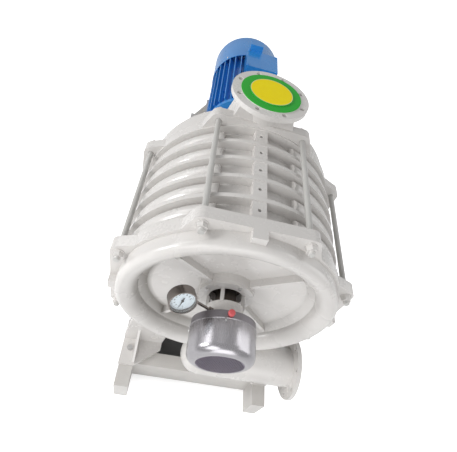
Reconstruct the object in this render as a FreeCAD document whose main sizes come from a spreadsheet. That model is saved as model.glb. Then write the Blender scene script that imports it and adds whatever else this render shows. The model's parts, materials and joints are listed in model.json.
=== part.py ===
import FreeCAD, Part
import math
import os
import Sketcher

# Multistage centrifugal blower with a direct-coupled motor on one base frame.
# The modelling frame of every piece has its origin on the shaft axis at the joint
# face of the front head: +Y runs along the shaft to the motor, +X to the outlet
# flange and +Z up.  Each placement then lifts the piece to the floor-level frame.

DOC = FreeCAD.newDocument("blower")
SHEET = DOC.addObject("Spreadsheet::Sheet", "Sizes")
PARTS = []


class Size:
    """A number together with the sheet formula that it comes from."""

    def __init__(self, value, text):
        self.value = float(value)
        self.text = text

    def _with(self, other, sign, value):
        return Size(value, "(" + self.text + " " + sign + " " + as_size(other).text + ")")

    def __add__(self, other):
        return self._with(other, "+", self.value + as_size(other).value)

    def __sub__(self, other):
        return self._with(other, "-", self.value - as_size(other).value)

    def __mul__(self, other):
        return self._with(other, "*", self.value * as_size(other).value)

    def __truediv__(self, other):
        return self._with(other, "/", self.value / as_size(other).value)

    def __radd__(self, other):
        return as_size(other) + self

    def __rsub__(self, other):
        return as_size(other) - self

    def __rmul__(self, other):
        return as_size(other) * self

    def __neg__(self):
        return as_size(0) - self


def as_size(item):
    """Wraps a plain number, and leaves a Size as it is."""
    if isinstance(item, Size):
        return item
    return Size(item, "(" + repr(float(item)) + ")")


def cosine(angle):
    """Cosine of an angle in degrees."""
    return Size(math.cos(math.radians(angle.value)), "cos(" + angle.text + " * 1 deg)")


def sine(angle):
    """Sine of an angle in degrees."""
    return Size(math.sin(math.radians(angle.value)), "sin(" + angle.text + " * 1 deg)")


# Driving sizes in millimetres, angles in degrees
VALUES = {
    # base frame
    "rail_drop": 730,
    "rail_height": 200,
    "rail_width": 75,
    "rail_web": 9,
    "rail_flange": 12,
    "rail_end": 9,
    "rail_spacing": 768,
    "rail_length": 2130,
    "rail_front": 290,
    "beam_width": 75,
    "beam_front": 165,
    "anchor_bore": 22,
    "anchor_inset": 120,
    # casing
    "stage_count": 5,
    "stage_pitch": 105,
    "flange_radius": 478,
    "flange_width": 9,
    "barrel_radius": 436,
    "bore_radius": 420,
    "bulge_rise": 33,
    "bulge_margin": 3,
    "bulge_angle": 141,
    "lug_width": 54,
    "lug_top": 474,
    "lug_bore": 14,
    "lug_bore_depth": 30,
    # tie rods
    "rod_circle": 500,
    "rod_count": 8,
    "rod_diameter": 24,
    "rod_clearance": 1,
    "nut_flats": 36,
    "nut_height": 20,
    "washer_radius": 22,
    "washer_thickness": 4,
    "thread_overhang": 14,
    # heads
    "plate_thickness": 50,
    "ear_reach": 550,
    "ear_tip": 28,
    "ear_root": 88,
    "chord_height": 496,
    "ring_radius": 466,
    "crest_radius": 440,
    "front_depth": 120,
    "rear_depth": 160,
    "inner_curve": 62,
    "dish_radius": 345,
    "front_dish_depth": 28,
    "front_dish_root": 2,
    "front_hub_length": 38,
    "front_spoke_end": 62,
    "rear_dish_depth": 66,
    "rear_dish_root": 46,
    "rear_hub_length": 74,
    "rear_spoke_end": 96,
    "casting_wall": 10,
    "head_bore": 60,
    "hub_radius": 122,
    "hub_floor": 4,
    "spoke_count": 4,
    "spoke_width": 18,
    "head_lug_reach": 40,
    # feet
    "foot_width": 84,
    "foot_thickness": 18,
    "foot_front": 180,
    "foot_back": 70,
    "foot_inner": 128,
    "foot_web": 26,
    "foot_web_start": 10,
    "foot_bolt_front": 90,
    "foot_bolt_back": 40,
    "foot_bolt_diameter": 20,
    "foot_bolt_clearance": 1,
    # flanges and nozzles
    "flange_outer": 170,
    "flange_circle": 147.5,
    "flange_holes": 8,
    "flange_hole": 22,
    "flange_plate": 24,
    "seat_radius": 134,
    "seat_height": 2,
    "nozzle_bore": 100,
    "nozzle_wall": 8,
    "inlet_height": 600,
    "inlet_setback": 86,
    "inlet_root_height": 425,
    "inlet_root_radius": 74,
    "inlet_root_spread": 155,
    "outlet_reach": 530,
    "outlet_drop": 590,
    "outlet_forward": 100,
    "outlet_root_drop": 430,
    "outlet_root_radius": 46,
    "gasket_radius": 132,
    "gasket_bore": 84,
    "gasket_thickness": 3,
    "cover_radius": 96,
    "cover_thickness": 4,
    # flow passages and rotor
    "diaphragm_radius": 430,
    "diaphragm_fit": 0.3,
    "diaphragm_thickness": 8,
    "eye_radius": 152,
    "partition_radius": 345,
    "partition_thickness": 6,
    "return_depth": 32,
    "return_vanes": 8,
    "vane_thickness": 5,
    "impeller_radius": 330,
    "impeller_disc": 5,
    "impeller_width": 34,
    "impeller_tip_width": 18,
    "impeller_shroud": 4,
    "impeller_gap": 10,
    "blade_count": 9,
    "blade_thickness": 4,
    "blade_root": 130,
    "blade_curve": 190,
    "eye_clearance": 4,
    "impeller_hub": 52,
    "shaft_radius": 35,
    "sleeve_radius": 46,
    "sleeve_clearance": 1,
    "running_fit": 0.05,
    # front bearing group
    "bracket_radius": 120,
    "bracket_bore": 74,
    "bracket_plate": 12,
    "bracket_post": 55,
    "post_count": 4,
    "post_angle": 112,
    "post_radius": 84,
    "post_thickness": 15,
    "housing_radius": 80,
    "housing_length": 70,
    "bearing_outer": 65,
    "bearing_bore": 30,
    "bearing_width": 31,
    "bearing_ring": 9,
    "roller_count": 12,
    "seal_bore_clearance": 1,
    "fan_ring_radius": 134,
    "fan_ring_thickness": 38,
    "plug_radius": 14,
    "plug_height": 20,
    "cover_cup_wall": 2,
    "cover_cup_length": 136,
    "cover_cup_corner": 36,
    "cover_overlap": 8,
    "fan_radius": 112,
    "fan_width": 55,
    "fan_hub": 34,
    "fan_blades": 8,
    "fan_setback": 24,
    "tail_radius": 25,
    # dial thermometer
    "gauge_radius": 54,
    "gauge_depth": 44,
    "gauge_bezel": 4,
    "gauge_back": 15,
    "gauge_floor": 26,
    "gauge_distance": 256,
    "gauge_azimuth": 143,
    "gauge_forward": 149,
    "gauge_tilt": 25,
    "glass_thickness": 3,
    "boss_radius": 16,
    "boss_length": 26,
    "stem_radius": 6,
    "stem_depth": 8,
    "stem_hexagon": 24,
    "needle_length": 36,
    "needle_tail": 14,
    "needle_width": 5,
    "needle_thickness": 1.5,
    "needle_angle": 107,
    # coupling
    "coupling_radius": 90,
    "coupling_hub_radius": 50,
    "coupling_hub_length": 92,
    "coupling_flange": 30,
    "coupling_gap": 6,
    "coupling_pins": 8,
    "coupling_pin_radius": 9,
    "coupling_pin_circle": 70,
    "coupling_bush_radius": 15,
    "pin_head": 8,
    "guard_radius": 122,
    "guard_wall": 3,
    "guard_front": 320,
    "guard_length": 305,
    "guard_foot": 35,
    # motor
    "motor_face": 1125,
    "motor_shaft_radius": 30,
    "motor_shaft_length": 140,
    "motor_foot_drop": 250,
    "motor_radius": 196,
    "motor_wall": 16,
    "motor_length": 555,
    "fin_count": 36,
    "fin_width": 6,
    "shield_thickness": 42,
    "shield_radius": 222,
    "shield_step": 150,
    "motor_bearing_radius": 65,
    "motor_bearing_width": 28,
    "cowl_radius": 240,
    "cowl_wall": 3,
    "cowl_fit": 0.1,
    "cowl_start": 547,
    "cowl_length": 293,
    "cowl_corner": 28,
    "rotor_radius": 110,
    "air_gap": 1,
    "stator_length": 330,
    "motor_fan_radius": 180,
    "motor_fan_blades": 8,
    "motor_fan_width": 60,
    "motor_foot_length": 330,
    "motor_foot_width": 90,
    "motor_foot_thickness": 24,
    "motor_foot_web": 145,
    "motor_foot_spread": 178,
    "motor_foot_start": 95,
    "motor_bolt_radius": 9,
    "box_left": 57,
    "box_right": 152,
    "box_length": 215,
    "box_start": 305,
    "box_seat": 242,
    "box_height": 40,
    "box_wall": 5,
    "box_lid": 6,
    "entry_width": 84,
    "entry_length": 62,
    "entry_height": 82,
    "gland_radius": 24,
    "gland_length": 26,
    # motor stand
    "stand_plate": 20,
    "stand_half_width": 245,
    "stand_front": 330,
    "stand_length": 1000,
    "stand_wall": 12,
    "stand_lower_top": 400,
    "stand_lower_half": 348,
    "stand_lower_length": 985,
    "stand_ribs": 4,
    "stand_rib_foot": 322,
    "stand_slot_width": 14,
    "stand_foot_inner": 290,
    "stand_foot_outer": 420,
    "stand_bolt_radius": 8,
}


def fill_sheet():
    """Writes every driving size to the sheet, one row each."""
    for row, (name, value) in enumerate(VALUES.items(), start=1):
        SHEET.set("A%d" % row, name)
        SHEET.set("B%d" % row, str(value))
        SHEET.setAlias("B%d" % row, name)
    DOC.recompute()


def size(name):
    """The named size, read back from the sheet."""
    return Size(float(SHEET.get(name)), "Sizes." + name)


def bind(target, path, item):
    """Ties one property to a sheet formula."""
    target.setExpression(path, as_size(item).text)


# Sketch and feature helpers

def origin_feature(body, role):
    """The body's own origin plane or axis with this role."""
    return [item for item in body.Origin.OriginFeatures if item.Role == role][0]


def new_body(name):
    """A body whose placement lifts the shaft frame to the floor frame."""
    body = DOC.addObject("PartDesign::Body", name)
    body.Label = name
    body.AllowCompound = True
    place(body, 0, 0, 0)
    PARTS.append(body)
    return body


def place(item, x, y, z):
    """Places a piece at a point given in the shaft frame."""
    middle = size("rail_length") / 2 - size("rail_front")
    lift = size("rail_drop") + size("rail_height")
    bind(item, "Placement.Base.x", x)
    bind(item, "Placement.Base.y", as_size(y) - middle)
    bind(item, "Placement.Base.z", as_size(z) + lift)


def new_sketch(body, role, offset=0, turn=0, axis=(0, 0, 1), shift=0):
    """An empty sketch on an origin plane, moved along its normal and sideways, and turned."""
    sketch = body.newObject("Sketcher::SketchObject", body.Name + "_sketch")
    sketch.AttachmentSupport = [(origin_feature(body, role), "")]
    sketch.MapMode = "FlatFace"
    turned = FreeCAD.Rotation(FreeCAD.Vector(*axis), as_size(turn).value)
    shifted = FreeCAD.Vector(as_size(shift).value, 0, as_size(offset).value)
    sketch.AttachmentOffset = FreeCAD.Placement(shifted, turned)
    if as_size(turn).value != 0:
        bind(sketch, "AttachmentOffset.Rotation.Angle", turn)
    bind(sketch, "AttachmentOffset.Base.z", offset)
    bind(sketch, "AttachmentOffset.Base.x", shift)
    return sketch


def fix_point(sketch, edge, end, x, y):
    """Holds one point of the sketch at sheet-driven coordinates."""
    for kind, item in (("DistanceX", x), ("DistanceY", y)):
        item = as_size(item)
        index = sketch.addConstraint(Sketcher.Constraint(kind, -1, 1, edge, end, item.value))
        sketch.renameConstraint(index, "c%d" % index)
        bind(sketch, "Constraints.c%d" % index, item)


def arc_between(start, end, radius):
    """The arc from start to end; a positive radius turns left, a negative one right."""
    chord = end - start
    half = chord.Length / 2
    rise = math.sqrt(max(radius * radius - half * half, 0.0))
    normal = FreeCAD.Vector(-chord.y, chord.x, 0).normalize()
    centre = (start + end) / 2 + normal * (rise if radius > 0 else -rise)
    first, last = (start, end) if radius > 0 else (end, start)
    circle = Part.Circle(centre, FreeCAD.Vector(0, 0, 1), abs(radius))
    begin = math.atan2(first.y - centre.y, first.x - centre.x)
    finish = math.atan2(last.y - centre.y, last.x - centre.x)
    return Part.ArcOfCircle(circle, begin, finish if finish > begin else finish + 2 * math.pi)


def draw(sketch, points):
    """A closed outline; a point (x, y, radius) starts an arc to the next point."""
    spots = [FreeCAD.Vector(as_size(p[0]).value, as_size(p[1]).value, 0) for p in points]
    ends = []
    for index, point in enumerate(points):
        start, end = spots[index], spots[(index + 1) % len(spots)]
        if len(point) == 3:
            radius = as_size(point[2])
            edge = sketch.addGeometry(arc_between(start, end, radius.value))
            count = sketch.addConstraint(Sketcher.Constraint("Radius", edge, abs(radius.value)))
            sketch.renameConstraint(count, "c%d" % count)
            bind(sketch, "Constraints.c%d" % count, radius if radius.value > 0 else -radius)
            ends.append((edge, 1, 2) if radius.value > 0 else (edge, 2, 1))
        else:
            ends.append((sketch.addGeometry(Part.LineSegment(start, end)), 1, 2))
    for index, point in enumerate(points):
        edge, first, _ = ends[index]
        before, _, last = ends[index - 1]
        sketch.addConstraint(Sketcher.Constraint("Coincident", before, last, edge, first))
        fix_point(sketch, edge, first, point[0], point[1])
    return sketch


def draw_circle(sketch, x, y, radius):
    """A circle at sheet-driven coordinates."""
    radius = as_size(radius)
    centre = FreeCAD.Vector(as_size(x).value, as_size(y).value, 0)
    edge = sketch.addGeometry(Part.Circle(centre, FreeCAD.Vector(0, 0, 1), radius.value))
    fix_point(sketch, edge, 3, x, y)
    index = sketch.addConstraint(Sketcher.Constraint("Radius", edge, radius.value))
    sketch.renameConstraint(index, "c%d" % index)
    bind(sketch, "Constraints.c%d" % index, radius)
    return sketch


def draw_box(sketch, left, right, bottom, top):
    """A rectangle given by its four sides."""
    return draw(sketch, [(left, bottom), (right, bottom), (right, top), (left, top)])


def finish(body, feature):
    """Makes the feature the body's result."""
    body.Tip = feature
    return feature


def extrude(body, kind, sketch, length, backward=False, both=False):
    """A Pad or Pocket of a given length along the sketch normal."""
    feature = body.newObject("PartDesign::" + kind, body.Name + "_" + kind)
    feature.Profile = sketch
    feature.Reversed = backward
    feature.Midplane = both
    feature.Length = as_size(length).value
    bind(feature, "Length", length)
    return finish(body, feature)


def revolve(body, kind, sketch, angle=360, both=False, axis="V_Axis"):
    """A Revolution or Groove about one of the sketch's own axes."""
    feature = body.newObject("PartDesign::" + kind, body.Name + "_" + kind)
    feature.Profile = sketch
    feature.ReferenceAxis = (sketch, [axis])
    feature.Midplane = both
    feature.Angle = as_size(angle).value
    bind(feature, "Angle", angle)
    return finish(body, feature)


def around(body, features, count, role="Y_Axis"):
    """Repeats features evenly round an axis."""
    pattern = body.newObject("PartDesign::PolarPattern", body.Name + "_round")
    pattern.Originals = features
    pattern.Axis = (origin_feature(body, role), [""])
    pattern.Angle = 360
    pattern.Occurrences = int(as_size(count).value)
    bind(pattern, "Occurrences", count)
    return finish(body, pattern)


def mirrored(body, features, role="YZ_Plane"):
    """Repeats features on the other side of an origin plane."""
    mirror = body.newObject("PartDesign::Mirrored", body.Name + "_mirror")
    mirror.Originals = features
    mirror.MirrorPlane = (origin_feature(body, role), [""])
    return finish(body, mirror)


def turned(name, points, angle=360):
    """A body of revolution about the shaft axis from (radius, y) points."""
    body = new_body(name)
    revolve(body, "Revolution", draw(new_sketch(body, "XY_Plane"), points), angle)
    return body


def tube_points(inner, outer, start, end):
    """The (radius, y) section of a plain ring."""
    return [(inner, start), (outer, start), (outer, end), (inner, end)]


def casing_length():
    """Joint face to joint face over all stages."""
    return size("stage_count") * size("stage_pitch")


def outward(side, distance):
    """The y of a point that lies a distance outside a head's joint face."""
    if side == "front":
        return -as_size(distance)
    return casing_length() + distance


def pad_outward(body, side, sketch_maker, start, length, kind="Pad"):
    """Extrudes an XZ outline outward from a head's joint face."""
    if side == "front":
        sketch = sketch_maker(new_sketch(body, "XZ_Plane", offset=start))
        return extrude(body, kind, sketch, length, backward=(kind == "Pocket"))
    sketch = sketch_maker(new_sketch(body, "XZ_Plane", offset=-(casing_length() + start)))
    return extrude(body, kind, sketch, length, backward=(kind == "Pad"))


# Head castings

def head_shell(body, side):
    """The dished, ring-shaped shell that closes one end of the casing."""
    depth = size(side + "_depth")
    hub = size(side + "_hub_length")
    base = size(side + "_dish_root")
    floor = base + size("hub_floor")
    hollow = size("bracket_bore")
    wall = size("casting_wall")
    ring = size("ring_radius")
    crest = size("crest_radius")
    curve = size("inner_curve")
    dish = size("dish_radius")
    sunk = size(side + "_dish_depth")
    plate = size("plate_thickness")
    rim = ring - crest
    turn = -1 if side == "front" else 1
    section = [
        (size("head_bore"), floor),
        (hollow, floor),
        (hollow, hub),
        (size("hub_radius"), hub),
        (size("hub_radius"), base),
        (dish, sunk),
        (crest - curve, depth - curve, -curve * turn),
        (crest, depth, -rim * turn),
        (ring, depth - rim),
        (ring, plate),
        (size("flange_radius"), plate),
        (size("flange_radius"), as_size(0)),
        (size("bore_radius"), as_size(0)),
        (ring - wall, plate / 2),
        (ring - wall, depth - rim, (rim - wall) * turn),
        (crest, depth - wall, (curve - wall) * turn),
        (crest - curve + wall, depth - curve),
        (dish + wall, sunk - wall),
        (size("hub_radius"), base - wall),
        (size("head_bore"), base - wall),
    ]
    points = [(p[0], outward(side, p[1])) + tuple(p[2:]) for p in section]
    revolve(body, "Revolution", draw(new_sketch(body, "XY_Plane"), points))


def head_plate(body, side):
    """Eight rounded ears, joined in pairs by the four straight edges of the joint plate."""
    half_step = as_size(180) / size("rod_count")
    reach = size("ear_reach")
    tip = size("ear_tip")
    wide = size("ear_root")
    root_radius = size("flange_radius") - 12

    def ear(sketch):
        return draw(sketch, [
            (root_radius - 20, -wide), (root_radius, -wide), (reach - tip, -tip, tip * 1.4142136),
            (reach - tip, tip), (root_radius, wide), (root_radius - 20, wide)])

    first = pad_outward(body, side, ear, 0, size("plate_thickness"))
    bind(first.Profile[0], "AttachmentOffset.Rotation.Angle", half_step)
    around(body, [first], size("rod_count"))
    half = size("rod_circle") * sine(half_step)

    def chord(sketch):
        return draw_box(sketch, -half, half, size("bore_radius") + 20, size("chord_height"))

    edge = pad_outward(body, side, chord, 0, size("plate_thickness"))
    around(body, [edge], 4)


def head_lug(body, side):
    """The block in the middle of each straight edge, in line with the stage lugs."""
    half = size("lug_width") / 2

    def block(sketch):
        return draw_box(sketch, -half, half, size("crest_radius"), size("chord_height"))

    lug = pad_outward(body, side, block, 0, size("plate_thickness") + size("head_lug_reach"))
    around(body, [lug], 4)


def head_spokes(body, side):
    """Radial ribs that stiffen the dish between hub and ring."""
    inner = size("hub_radius") - 12
    outer = size("dish_radius") + 14
    sketch = new_sketch(body, "XY_Plane", turn=45, axis=(0, 1, 0))
    points = [(inner, size(side + "_dish_root") - 2), (inner, size(side + "_hub_length") - 4),
              (outer, size(side + "_spoke_end")), (outer, size(side + "_dish_depth") - 4)]
    draw(sketch, [(x, outward(side, y)) for x, y in points])
    rib = extrude(body, "Pad", sketch, size("spoke_width"), both=True)
    around(body, [rib], size("spoke_count"))


def head_feet(body, side):
    """Two cast feet: an upright web, a pad on the rail and a gusset between them."""
    rail = size("rail_spacing") / 2
    half = size("foot_width") / 2
    inner = rail - size("foot_inner") - half
    pad_top = size("foot_thickness") - size("rail_drop")
    start = size("foot_web_start")
    deep = start + size("foot_web")

    def web(sketch):
        return draw(sketch, [
            (inner, pad_top - 4), (rail + half, pad_top - 4), (rail + half, pad_top + 40),
            (rail - 14, -size("dish_radius") + 70), (rail - 50, -size("dish_radius") + 70),
            (inner - 60, -size("bore_radius") - 10), (inner - 30, -size("flange_radius") - 20)])

    upright = pad_outward(body, side, web, start, size("foot_web"))
    sole = new_sketch(body, "XY_Plane", offset=-size("rail_drop"))
    outline = [
        (inner, -size("foot_back")), (rail + half, -size("foot_back")), (rail + half, size("foot_front")),
        (rail - half, size("foot_front")), (inner, deep + 40)]
    draw(sole, [(x, outward(side, y)) for x, y in outline])
    pad = extrude(body, "Pad", sole, size("foot_thickness"))
    fin = new_sketch(body, "YZ_Plane", offset=rail - half)
    triangle = [(deep - 4, pad_top - 4), (size("foot_front") - 12, pad_top - 4),
                (size("foot_front") - 12, pad_top + 14), (deep - 4, pad_top + 150)]
    draw(fin, [(outward(side, y), z) for y, z in triangle])
    gusset = extrude(body, "Pad", fin, size("foot_web") / 2)
    mirrored(body, [upright, pad, gusset])


def foot_bolt_spots(side):
    """Where the foot bolts stand: x and y of each."""
    rail = size("rail_spacing") / 2
    ahead = outward(side, size("foot_bolt_front"))
    behind = outward(side, -size("foot_bolt_back"))
    spots = [(-rail, ahead), (-rail, behind), (rail, behind)]
    if side == "rear":
        spots.append((rail, ahead))
    return spots


def head_drillings(body, side):
    """Clearance holes for the tie rods and for the foot bolts."""
    half_step = as_size(180) / size("rod_count")
    hole = size("rod_diameter") / 2 + size("rod_clearance")
    x = size("rod_circle") * cosine(half_step)
    z = size("rod_circle") * sine(half_step)

    def bore(sketch):
        return draw_circle(sketch, x, z, hole)

    first = pad_outward(body, side, bore, -2, size("plate_thickness") + 60, kind="Pocket")
    around(body, [first], size("rod_count"))
    sketch = new_sketch(body, "XY_Plane", offset=-size("rail_drop") + size("foot_thickness"))
    for spot_x, spot_y in foot_bolt_spots(side):
        draw_circle(sketch, spot_x, spot_y, size("foot_bolt_diameter") / 2 + size("foot_bolt_clearance"))
    extrude(body, "Pocket", sketch, size("foot_thickness") + 2)


def pipe_flange(body, role, offset, x, y):
    """A round flange; its raised seat lies at the offset along the plane's normal."""
    thick = size("flange_plate")
    step = size("seat_height")
    disc = draw_circle(new_sketch(body, role, offset=offset - step), x, y, size("flange_outer"))
    extrude(body, "Pad", disc, thick - step, backward=True)
    seat = draw_circle(new_sketch(body, role, offset=offset), x, y, size("seat_radius"))
    extrude(body, "Pad", seat, thick, backward=True)


def flange_drillings(body, role, offset, x, y):
    """The bolt circle, with its holes astride the centre lines."""
    sketch = new_sketch(body, role, offset=offset)
    step = as_size(360) / size("flange_holes")
    for index in range(int(size("flange_holes").value)):
        angle = step * (index + 0.5)
        draw_circle(sketch, x + size("flange_circle") * cosine(angle),
                    y + size("flange_circle") * sine(angle), size("flange_hole") / 2)
    extrude(body, "Pocket", sketch, size("flange_plate") + 2)


def make_front_head():
    """Front head with the outlet nozzle that leaves its ring at the bottom."""
    body = new_body("front_head")
    head_shell(body, "front")
    head_plate(body, "front")
    head_lug(body, "front")
    head_spokes(body, "front")
    head_feet(body, "front")
    ahead = -size("outlet_forward")
    drop = -size("outlet_drop")
    bore = size("nozzle_bore")
    outer = bore + size("nozzle_wall")

    def run(kind, inset, radius, reach):
        pipe = draw_circle(new_sketch(body, "YZ_Plane"), ahead, drop, radius)
        extrude(body, kind, pipe, reach, backward=(kind == "Pocket"))
        neck = draw(new_sketch(body, "YZ_Plane", shift=ahead), [
            (0, drop), (radius, drop), (size("outlet_root_radius") - inset, -size("outlet_root_drop")),
            (0, -size("outlet_root_drop"))])
        revolve(body, "Revolution" if kind == "Pad" else "Groove", neck)
        ball = draw(new_sketch(body, "YZ_Plane", shift=ahead), [
            (0, drop - radius, radius), (radius, drop, radius), (0, drop + radius)])
        revolve(body, "Revolution" if kind == "Pad" else "Groove", ball)

    run("Pad", 0, outer, size("outlet_reach"))
    pipe_flange(body, "YZ_Plane", size("outlet_reach"), ahead, drop)
    run("Pocket", size("nozzle_wall"), bore, size("outlet_reach") + 1)
    flange_drillings(body, "YZ_Plane", size("outlet_reach"), ahead, drop)
    head_drillings(body, "front")
    return body


def make_rear_head():
    """Rear head with the upright inlet neck, which spreads into a shoulder on top of its ring."""
    body = new_body("rear_head")
    head_shell(body, "rear")
    head_plate(body, "rear")
    head_lug(body, "rear")
    head_spokes(body, "rear")
    head_feet(body, "rear")
    top = size("inlet_height")
    centre = casing_length() + size("inlet_setback")
    root_z = size("inlet_root_height")

    def shoulder(kind, inset, drop):
        slab = draw(new_sketch(body, "XZ_Plane", offset=-centre), [
            (inset - size("inlet_root_spread"), root_z), (size("inlet_root_spread") - inset, root_z),
            (size("nozzle_bore") + size("nozzle_wall") - inset, top - drop),
            (inset - size("nozzle_bore") - size("nozzle_wall"), top - drop)])
        extrude(body, kind, slab, (size("inlet_root_radius") - inset) * 2, both=True)

    def neck(kind, inset, reach):
        cone = draw(new_sketch(body, "YZ_Plane", shift=centre), [
            (0, root_z), (size("inlet_root_radius") - inset, root_z),
            (size("nozzle_bore") + size("nozzle_wall") - inset, top),
            (size("nozzle_bore") + size("nozzle_wall") - inset, top + reach), (0, top + reach)])
        revolve(body, kind, cone)

    shoulder("Pad", 0, size("flange_plate") / 2)
    neck("Revolution", 0, -size("flange_plate") / 2)
    pipe_flange(body, "XY_Plane", top, 0, centre)
    shoulder("Pocket", size("nozzle_wall"), size("flange_plate") + size("nozzle_wall"))
    neck("Groove", size("nozzle_wall"), 1)
    flange_drillings(body, "XY_Plane", top, 0, centre)
    head_drillings(body, "rear")
    return body


# Stage castings

def make_stage(number):
    """One cast stage ring: two thin flanges, side bulges, top and bottom pockets with lugs."""
    body = new_body("stage_section_%d" % number)
    start = size("stage_pitch") * (number - 1)
    end = start + size("stage_pitch")
    thin = size("flange_width")
    inner = size("bore_radius")
    barrel = size("barrel_radius")
    outer = size("flange_radius")
    seat = size("diaphragm_radius") + size("diaphragm_fit")
    deep = size("diaphragm_thickness")
    points = [
        (inner, start), (outer, start), (outer, start + thin), (barrel, start + thin),
        (barrel, end - thin), (outer, end - thin), (outer, end), (seat, end), (seat, end - deep),
        (inner, end - deep)]
    revolve(body, "Revolution", draw(new_sketch(body, "XY_Plane"), points))
    low = start + thin + size("bulge_margin")
    high = end - thin - size("bulge_margin")
    rise = size("bulge_rise")
    half = (high - low) / 2
    arch = (half * half + rise * rise) / (rise * 2)
    bulge = draw(new_sketch(body, "XY_Plane"), [
        (barrel - 4, low), (barrel, low, arch), (barrel + rise, (low + high) / 2, arch),
        (barrel, high), (barrel - 4, high)])
    side = revolve(body, "Revolution", bulge, size("bulge_angle"), both=True)
    around(body, [side], 2)
    wide = size("lug_width") / 2
    lug = draw_box(new_sketch(body, "XZ_Plane", offset=-(end - thin / 2)), -wide, wide, barrel - 4,
                   size("lug_top"))
    block = extrude(body, "Pad", lug, size("stage_pitch") - thin)
    tap = draw_circle(new_sketch(body, "XY_Plane", offset=size("lug_top")), 0, (start + end) / 2,
                      size("lug_bore") / 2)
    drilled = extrude(body, "Pocket", tap, size("lug_bore_depth"))
    around(body, [block, drilled], 2)
    return body


def make_tie_rods():
    """The long bolts that clamp the heads and stages together."""
    body = new_body("tie_rods")
    over = size("plate_thickness") + size("washer_thickness") + size("nut_height") + size("thread_overhang")
    half_step = as_size(180) / size("rod_count")
    x = size("rod_circle") * cosine(half_step)
    z = size("rod_circle") * sine(half_step)
    rod = draw_circle(new_sketch(body, "XZ_Plane", offset=over), x, z, size("rod_diameter") / 2)
    first = extrude(body, "Pad", rod, casing_length() + over * 2, backward=True)
    around(body, [first], size("rod_count"))
    return body


def hexagon(sketch, x, z, flats):
    """A hexagon with two flats level."""
    reach = flats / 1.7320508
    corners = [(reach, 0), (reach / 2, flats / 2), (-reach / 2, flats / 2), (-reach, 0),
               (-reach / 2, -flats / 2), (reach / 2, -flats / 2)]
    return draw(sketch, [(x + dx, z + dz) for dx, dz in corners])


def make_rod_nuts():
    """Hexagon nuts with a round flange on both ends of the tie rods."""
    body = new_body("tie_rod_nuts")
    half_step = as_size(180) / size("rod_count")
    x = size("rod_circle") * cosine(half_step)
    z = size("rod_circle") * sine(half_step)
    hole = size("rod_diameter") / 2 + size("running_fit")

    def collar(sketch):
        draw_circle(sketch, x, z, size("washer_radius"))
        return draw_circle(sketch, x, z, hole)

    def flats(sketch):
        hexagon(sketch, x, z, size("nut_flats"))
        return draw_circle(sketch, x, z, hole)

    plate = size("plate_thickness")
    thin = size("washer_thickness")
    pieces = []
    for side in ("front", "rear"):
        pieces.append(pad_outward(body, side, collar, plate, thin))
        pieces.append(pad_outward(body, side, flats, plate + thin, size("nut_height")))
    around(body, pieces, size("rod_count"))
    return body


# Flow passages

def shaft_opening():
    """Bore of every fixed piece that the shaft sleeves pass through."""
    return size("sleeve_radius") + size("sleeve_clearance")


def make_return_channel(number):
    """Diaphragm, guide vanes and partition that lead the flow back to the next eye."""
    body = new_body("return_channel_%d" % number)
    joint = size("stage_pitch") * number
    thick = size("diaphragm_thickness")
    deep = size("return_depth")
    disc = tube_points(size("eye_radius") + size("eye_clearance"), size("diaphragm_radius"),
                       joint - thick, joint)
    revolve(body, "Revolution", draw(new_sketch(body, "XY_Plane"), disc))
    wall = tube_points(shaft_opening(), size("partition_radius"), joint + deep,
                       joint + deep + size("partition_thickness"))
    revolve(body, "Revolution", draw(new_sketch(body, "XY_Plane"), wall))
    inner = size("eye_radius") + size("eye_clearance") + 12
    outer = size("partition_radius") - 8
    lean = size("vane_thickness") * 9
    vane = draw(new_sketch(body, "XZ_Plane", offset=-joint), [
        (inner, 0), (inner, size("vane_thickness"), -size("blade_curve")),
        (outer - 10, lean + size("vane_thickness") * 3), (outer, lean + 5, size("blade_curve"))])
    first = extrude(body, "Pad", vane, deep, backward=True)
    around(body, [first], size("return_vanes"))
    return body


def make_inlet_plate():
    """The plain diaphragm in front of the first impeller eye."""
    end = casing_length()
    return turned("inlet_plate", tube_points(size("eye_radius") + size("eye_clearance"),
                                             size("diaphragm_radius"),
                                             end - size("diaphragm_thickness"), end))


def impeller_start(number):
    """The front face of one impeller's back disc."""
    return (size("stage_pitch") * (number - 1) + size("return_depth")
            + size("partition_thickness") + size("impeller_gap"))


def make_impeller(number):
    """Closed impeller: hub, back disc, backward-curved blades and a coned shroud."""
    body = new_body("impeller_%d" % number)
    start = impeller_start(number)
    disc = start + size("impeller_disc")
    tip = disc + size("impeller_tip_width")
    eye = disc + size("impeller_width")
    radius = size("impeller_radius")
    bore = size("shaft_radius") + size("running_fit")
    hub = [(bore, start), (radius, start), (radius, disc), (size("impeller_hub") + 30, disc),
           (size("impeller_hub"), disc + 16), (size("impeller_hub"), eye), (bore, eye)]
    revolve(body, "Revolution", draw(new_sketch(body, "XY_Plane"), hub))
    inner = size("eye_radius") - size("impeller_shroud")
    shell = size("impeller_shroud")
    shroud = [(inner, eye), (radius, tip), (radius, tip + shell), (inner + shell, eye + shell),
              (inner + shell, eye + shell * 2), (inner, eye + shell * 2)]
    revolve(body, "Revolution", draw(new_sketch(body, "XY_Plane"), shroud))
    root = size("blade_root")
    thin = size("blade_thickness")
    sweep = radius * 0.42
    blade = draw(new_sketch(body, "XZ_Plane", offset=-disc + 1), [
        (root, 0), (root, thin, size("blade_curve")),
        (radius * 0.88, sweep + thin), (radius * 0.885, sweep, -size("blade_curve"))])
    first = extrude(body, "Pad", blade, size("impeller_tip_width") + 2, backward=True)
    around(body, [first], size("blade_count"))
    return body


# Shaft line

def housing_start(side):
    """Distance of a bearing housing's inner end outside the joint face."""
    return size(side + "_hub_length") + size("bracket_plate") + size("bracket_post")


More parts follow.
